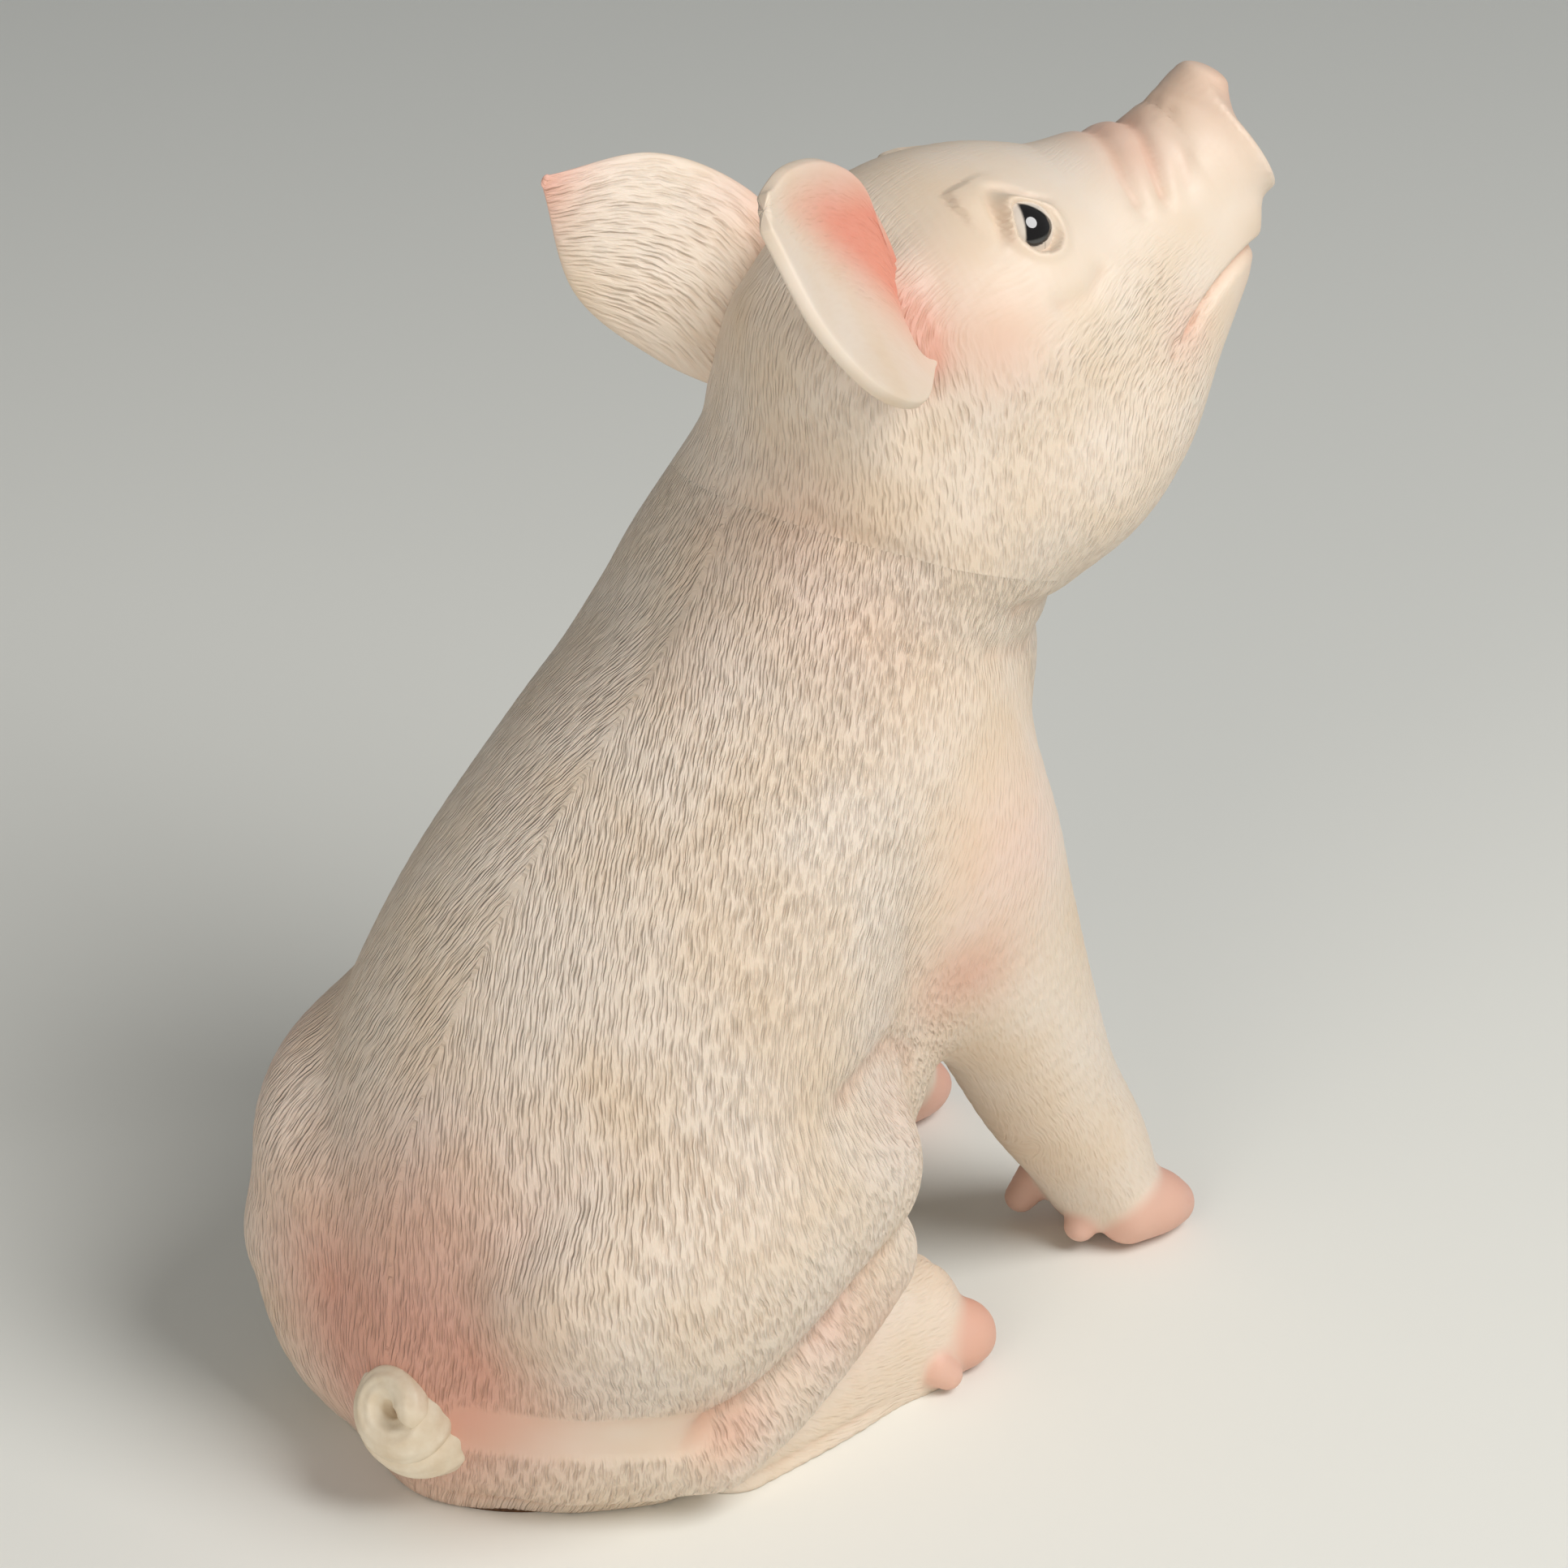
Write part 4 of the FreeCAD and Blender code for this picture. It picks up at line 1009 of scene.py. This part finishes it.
def hairMaterial(name, spec):
    # combed hair: short nicks lie along the flow and hold a tan wash, over skin of two mottled tones, and the
    # pink, and the painted shade that darkens and pinks the hollows, come from the attributes
    n = Nodes(name)
    across, along = n.value("across"), n.value("along")
    where = n.add("ShaderNodeTexCoord").outputs["Object"]
    wobble = n.noise(where, 260.0, 2.0)
    sway = n.math("MULTIPLY", n.math("SUBTRACT", wobble, 0.5), spec["sway"])
    u = n.math("MULTIPLY", n.math("ADD", across, sway), spec["across"])
    t = n.math("MULTIPLY", along, spec["along"])

    def dashes(scale, shift):
        # separate short nicks: the middles of cells that are stretched along the flow
        sideways, lengthways = (n.math("MULTIPLY_ADD", x, scale, shift) for x in (u, t))
        vector = n.add("ShaderNodeCombineXYZ", {0: sideways, 1: lengthways, 2: 0.0}).outputs[0]
        cell = n.add("ShaderNodeTexVoronoi", {"Vector": vector, "Scale": 1.0}, voronoi_dimensions="2D")
        return n.ramp(cell.outputs["Distance"], spec["reach"], 0.12)

    strong, small = dashes(1.0, 0.0), dashes(1.5, 7.3)
    finer = n.add("ShaderNodeCombineXYZ", {0: n.math("MULTIPLY", u, 2.2), 1: n.math("MULTIPLY", t, 1.4),
                                           2: 3.0})
    fine = n.noise(finer.outputs[0], 1.0, 3.0, 0.6, 0.1)
    nicks = n.math("ADD", n.math("MULTIPLY", strong, 0.5), n.math("MULTIPLY", small, 0.35))
    height = n.math("SUBTRACT", n.math("MULTIPLY", fine, 0.5), nicks)
    smooth = n.math("SUBTRACT", 1.0, n.value("bare"), clamp=True)
    worn = n.ramp(n.noise(where, 38.0, 3.0), 0.38, 0.68, 0.15, 1.0)
    furrow = n.math("MULTIPLY", n.math("MULTIPLY", n.math("MULTIPLY", nicks, 1.2), worn), smooth)
    patch = n.noise(where, 55.0, 3.0)
    base = n.mix(n.ramp(patch, 0.35, 0.7), spec["cream"], spec["warm"])
    # painted shade: the hollows are painted pinker and darker, in the colour of the wash
    hollow = n.ramp(n.value("hollow"), 0.02, 0.45)
    hollowShadeAndWash = n.math("MULTIPLY", hollow, spec["hollowShadeAndWash"])
    pink = n.math("ADD", n.math("MULTIPLY", n.value("blush"), spec["pinkness"]), hollowShadeAndWash, clamp=True)
    base = n.mix(pink, base, spec["pink"])
    dark = n.math("ADD", n.math("MULTIPLY", furrow, spec["stain"]), hollowShadeAndWash, clamp=True)
    base = n.mix(dark, base, spec["washAndShade"])
    n.join(base, n.shader.inputs["Base Color"])
    n.join(n.ramp(height, -0.4, 0.4, 0.6, 0.45), n.shader.inputs["Roughness"])
    n.shader.inputs["Subsurface Weight"].default_value = 0.08
    n.shader.inputs["Subsurface Radius"].default_value = (0.004, 0.002, 0.0012)
    n.shader.inputs["Subsurface Scale"].default_value = 0.3
    bump = n.add("ShaderNodeBump", {"Height": n.math("MULTIPLY", height, n.math("MULTIPLY", smooth, smooth))})
    bump.inputs["Strength"].default_value = spec["bump"]
    bump.inputs["Distance"].default_value = spec["depth"]
    n.join(bump.outputs[0], n.shader.inputs["Normal"])
    return n.material


hairCoat = hairMaterial("combedHairPaint", hairPaint)
earCoat = hairMaterial("groovedEarPaint", {**hairPaint, "across": 1.0, "along": 0.2,
                                           "pink": rgb(232, 118, 92)})


def eyeMaterial():
    # black and off-white shared out by an attribute, under a clear coat
    n = Nodes("varnishedEye")
    n.join(n.mix(n.value("white"), rgb(14, 10, 9), rgb(220, 210, 198)), n.shader.inputs["Base Color"])
    n.shader.inputs["Roughness"].default_value = 0.07
    n.shader.inputs["Coat Weight"].default_value = 1.0
    n.shader.inputs["Coat Roughness"].default_value = 0.03
    return n.material


def ivoryMaterial():
    # two ivory tones with a fine grain
    n = Nodes("ivoryTailPaint")
    where = n.add("ShaderNodeTexCoord").outputs["Object"]
    tint = n.ramp(n.noise(where, 300.0, 3.0), 0.3, 0.7)
    n.join(n.mix(tint, rgb(238, 226, 204), rgb(222, 204, 176)), n.shader.inputs["Base Color"])
    n.shader.inputs["Roughness"].default_value = 0.45
    bump = n.add("ShaderNodeBump", {"Height": n.noise(where, 700.0, 2.0)})
    bump.inputs["Strength"].default_value = 0.3
    bump.inputs["Distance"].default_value = 0.0004
    n.join(bump.outputs[0], n.shader.inputs["Normal"])
    return n.material


def plainMaterial(name, first, second, scale, rough, metal=0.0, bumpDistance=0.0002):
    # two tones mottled by noise, with the same noise as a fine bump
    n = Nodes(name)
    where = n.add("ShaderNodeTexCoord").outputs["Object"]
    grain = n.noise(where, scale, 4.0)
    n.join(n.mix(n.ramp(grain, 0.3, 0.7), first, second), n.shader.inputs["Base Color"])
    n.shader.inputs["Roughness"].default_value = rough
    n.shader.inputs["Metallic"].default_value = metal
    bump = n.add("ShaderNodeBump", {"Height": grain})
    bump.inputs["Strength"].default_value = 0.5
    bump.inputs["Distance"].default_value = bumpDistance
    n.join(bump.outputs[0], n.shader.inputs["Normal"])
    return n.material


eyeGloss, ivoryPaint = eyeMaterial(), ivoryMaterial()
nodeFinishes = {
    "base_plate": plainMaterial("castPlate", rgb(176, 160, 136), rgb(150, 134, 112), 400.0, 0.7),
    "base_felt": plainMaterial("brownFelt", rgb(104, 74, 50), rgb(74, 50, 33), 1800.0, 0.95),
    "neck_dowel": plainMaterial("beechDowel", rgb(206, 174, 130), rgb(184, 148, 104), 220.0, 0.6),
}
pinSteel = plainMaterial("drawnSteel", rgb(190, 190, 192), rgb(160, 160, 164), 900.0, 0.35, 1.0)
for pin in ("foreleg_pin_left", "foreleg_pin_right", "hind_foot_pin_left", "hind_foot_pin_right",
            "ear_pin_left", "ear_pin_right"):
    nodeFinishes[pin] = pinSteel
for name, finish in nodeFinishes.items():
    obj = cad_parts[name]
    obj.data.materials.clear()
    obj.data.materials.append(finish)

for name, obj in pieces.items():
    finish = hairCoat
    if name.startswith("ear"):
        finish = earCoat
    elif name.startswith("eye"):
        finish = eyeGloss
    elif name == "tail":
        finish = ivoryPaint
    obj.data.materials.append(finish)
    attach(obj, "root")
    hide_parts("body_shell" if name == "body" else name)

print("stage")
# millimetres and degrees, the azimuth counted from the figure's front
cameraSpec = {"azimuth": 224, "elevation": 28, "distance": 850, "target": (-13.3, frontShift, 95),
              "lens": 140.2, "sensor": 36, "nearest": 0.05}
# metres, and where along the viewing direction the paint passes from the near to the far tone: painted shade,
# darker towards the back
stageSpec = {"width": 4.0, "near": -2.5, "far": 1.6, "bend": 0.9, "rise": 2.2, "rows": 60, "cols": 9,
             "nearLitTone": rgb(246, 246, 239), "farShadedTone": rgb(216, 218, 214), "toneFrom": -0.35, "toneTo": 0.7}


def outward(azimuth, elevation):
    # the direction from the figure to the viewer or the lamp there
    a, e = math.radians(azimuth), math.radians(elevation)
    return Vector((math.sin(a) * math.cos(e), -math.cos(a) * math.cos(e), math.sin(e)))


def makeFloor():
    # a flat floor that bends up into a backdrop behind the figure, as seen from the camera: flat for the
    # first 0.6 of its rows, bending for the next 0.2, and then upright
    rows, cols = stageSpec["rows"], stageSpec["cols"]
    t = np.linspace(0, 1, rows)
    flat = stageSpec["near"] + (stageSpec["far"] - stageSpec["near"]) * np.clip(t / 0.6, 0, 1)
    turn = np.clip((t - 0.6) / 0.2, 0, 1) * np.pi / 2
    y = flat + stageSpec["bend"] * np.sin(turn)
    z = stageSpec["bend"] * (1 - np.cos(turn)) + stageSpec["rise"] * np.clip((t - 0.8) / 0.2, 0, 1)
    x = np.linspace(-stageSpec["width"], stageSpec["width"], cols)
    yaw = math.radians(cameraSpec["azimuth"])
    ahead = np.array([-math.sin(yaw), math.cos(yaw)])
    side = np.array([math.cos(yaw), math.sin(yaw)])
    xy = y[:, None, None] * ahead + x[None, :, None] * side
    p = np.concatenate([xy, np.repeat(z[:, None, None], cols, 1)], 2) * 1000
    i, j = np.meshgrid(np.arange(rows - 1), np.arange(cols - 1), indexing="ij")
    a = (i * cols + j).ravel()
    faces = np.stack([a, a + 1, a + cols + 1, a + cols], 1).tolist()
    obj = newObject("paleFloor", p.reshape(-1, 3), faces)
    n = Nodes("paleFloorPaint")
    where = n.add("ShaderNodeTexCoord").outputs["Object"]
    back = n.add("ShaderNodeVectorMath", {0: where, 1: (*ahead, 0.0)}, operation="DOT_PRODUCT")
    # painted shade: the floor and backdrop are painted lighter near the camera and darker away from it, in
    # place of the light falling off
    tone = n.ramp(back.outputs["Value"], stageSpec["toneFrom"], stageSpec["toneTo"])
    n.join(n.mix(tone, stageSpec["nearLitTone"], stageSpec["farShadedTone"]), n.shader.inputs["Base Color"])
    n.shader.inputs["Roughness"].default_value = 0.8
    obj.data.materials.append(n.material)


makeFloor()

# metres and watts: a soft key from the camera's right and a warm low fill from its left, in a dim room
lampAim = Vector((0, 0, 0.09))
lampSpecs = {
    "keyLamp": {"azimuth": 281, "elevation": 48, "distance": 1.3, "size": 0.8, "power": 13.4,
                "colour": (1.0, 0.985, 0.97)},
    "fillLamp": {"azimuth": 200, "elevation": 17, "distance": 1.6, "size": 1.0, "power": 8,
                 "colour": (1.0, 0.93, 0.85)},
}
roomLight = {"colour": (0.96, 0.98, 1.0, 1), "strength": 0.195}


def addLight(name, spec):
    # an area lamp on a ball round the figure, facing its middle
    back = outward(spec["azimuth"], spec["elevation"])
    lamp = bpy.data.lights.new(name, "AREA")
    lamp.shape = "DISK"
    lamp.size = spec["size"]
    lamp.energy = spec["power"]
    lamp.color = spec["colour"]
    obj = bpy.data.objects.new(name, lamp)
    obj.location = lampAim + back * spec["distance"]
    obj.rotation_euler = (-back).to_track_quat("-Z", "Y").to_euler()
    bpy.context.scene.collection.objects.link(obj)


def addRoom():
    world = bpy.data.worlds.new("softRoom")
    world.use_nodes = True
    background = world.node_tree.nodes["Background"]
    background.inputs["Color"].default_value = roomLight["colour"]
    background.inputs["Strength"].default_value = roomLight["strength"]
    bpy.context.scene.world = world
    bpy.context.scene.view_settings.view_transform = "Standard"


def addCamera():
    back = outward(cameraSpec["azimuth"], cameraSpec["elevation"])
    camera = bpy.data.objects.new("camera", bpy.data.cameras.new("camera"))
    camera.location = Vector(cameraSpec["target"]) * 0.001 + back * cameraSpec["distance"] * 0.001
    camera.rotation_euler = (-back).to_track_quat("-Z", "Y").to_euler()
    camera.data.lens = cameraSpec["lens"]
    camera.data.sensor_width = cameraSpec["sensor"]
    camera.data.clip_start = cameraSpec["nearest"]
    bpy.context.scene.collection.objects.link(camera)
    bpy.context.scene.camera = camera


for name, spec in lampSpecs.items():
    addLight(name, spec)
addRoom()
addCamera()

# the whole skins are no longer needed
for mesh in (bodyMesh, headMesh):
    bpy.data.meshes.remove(mesh)
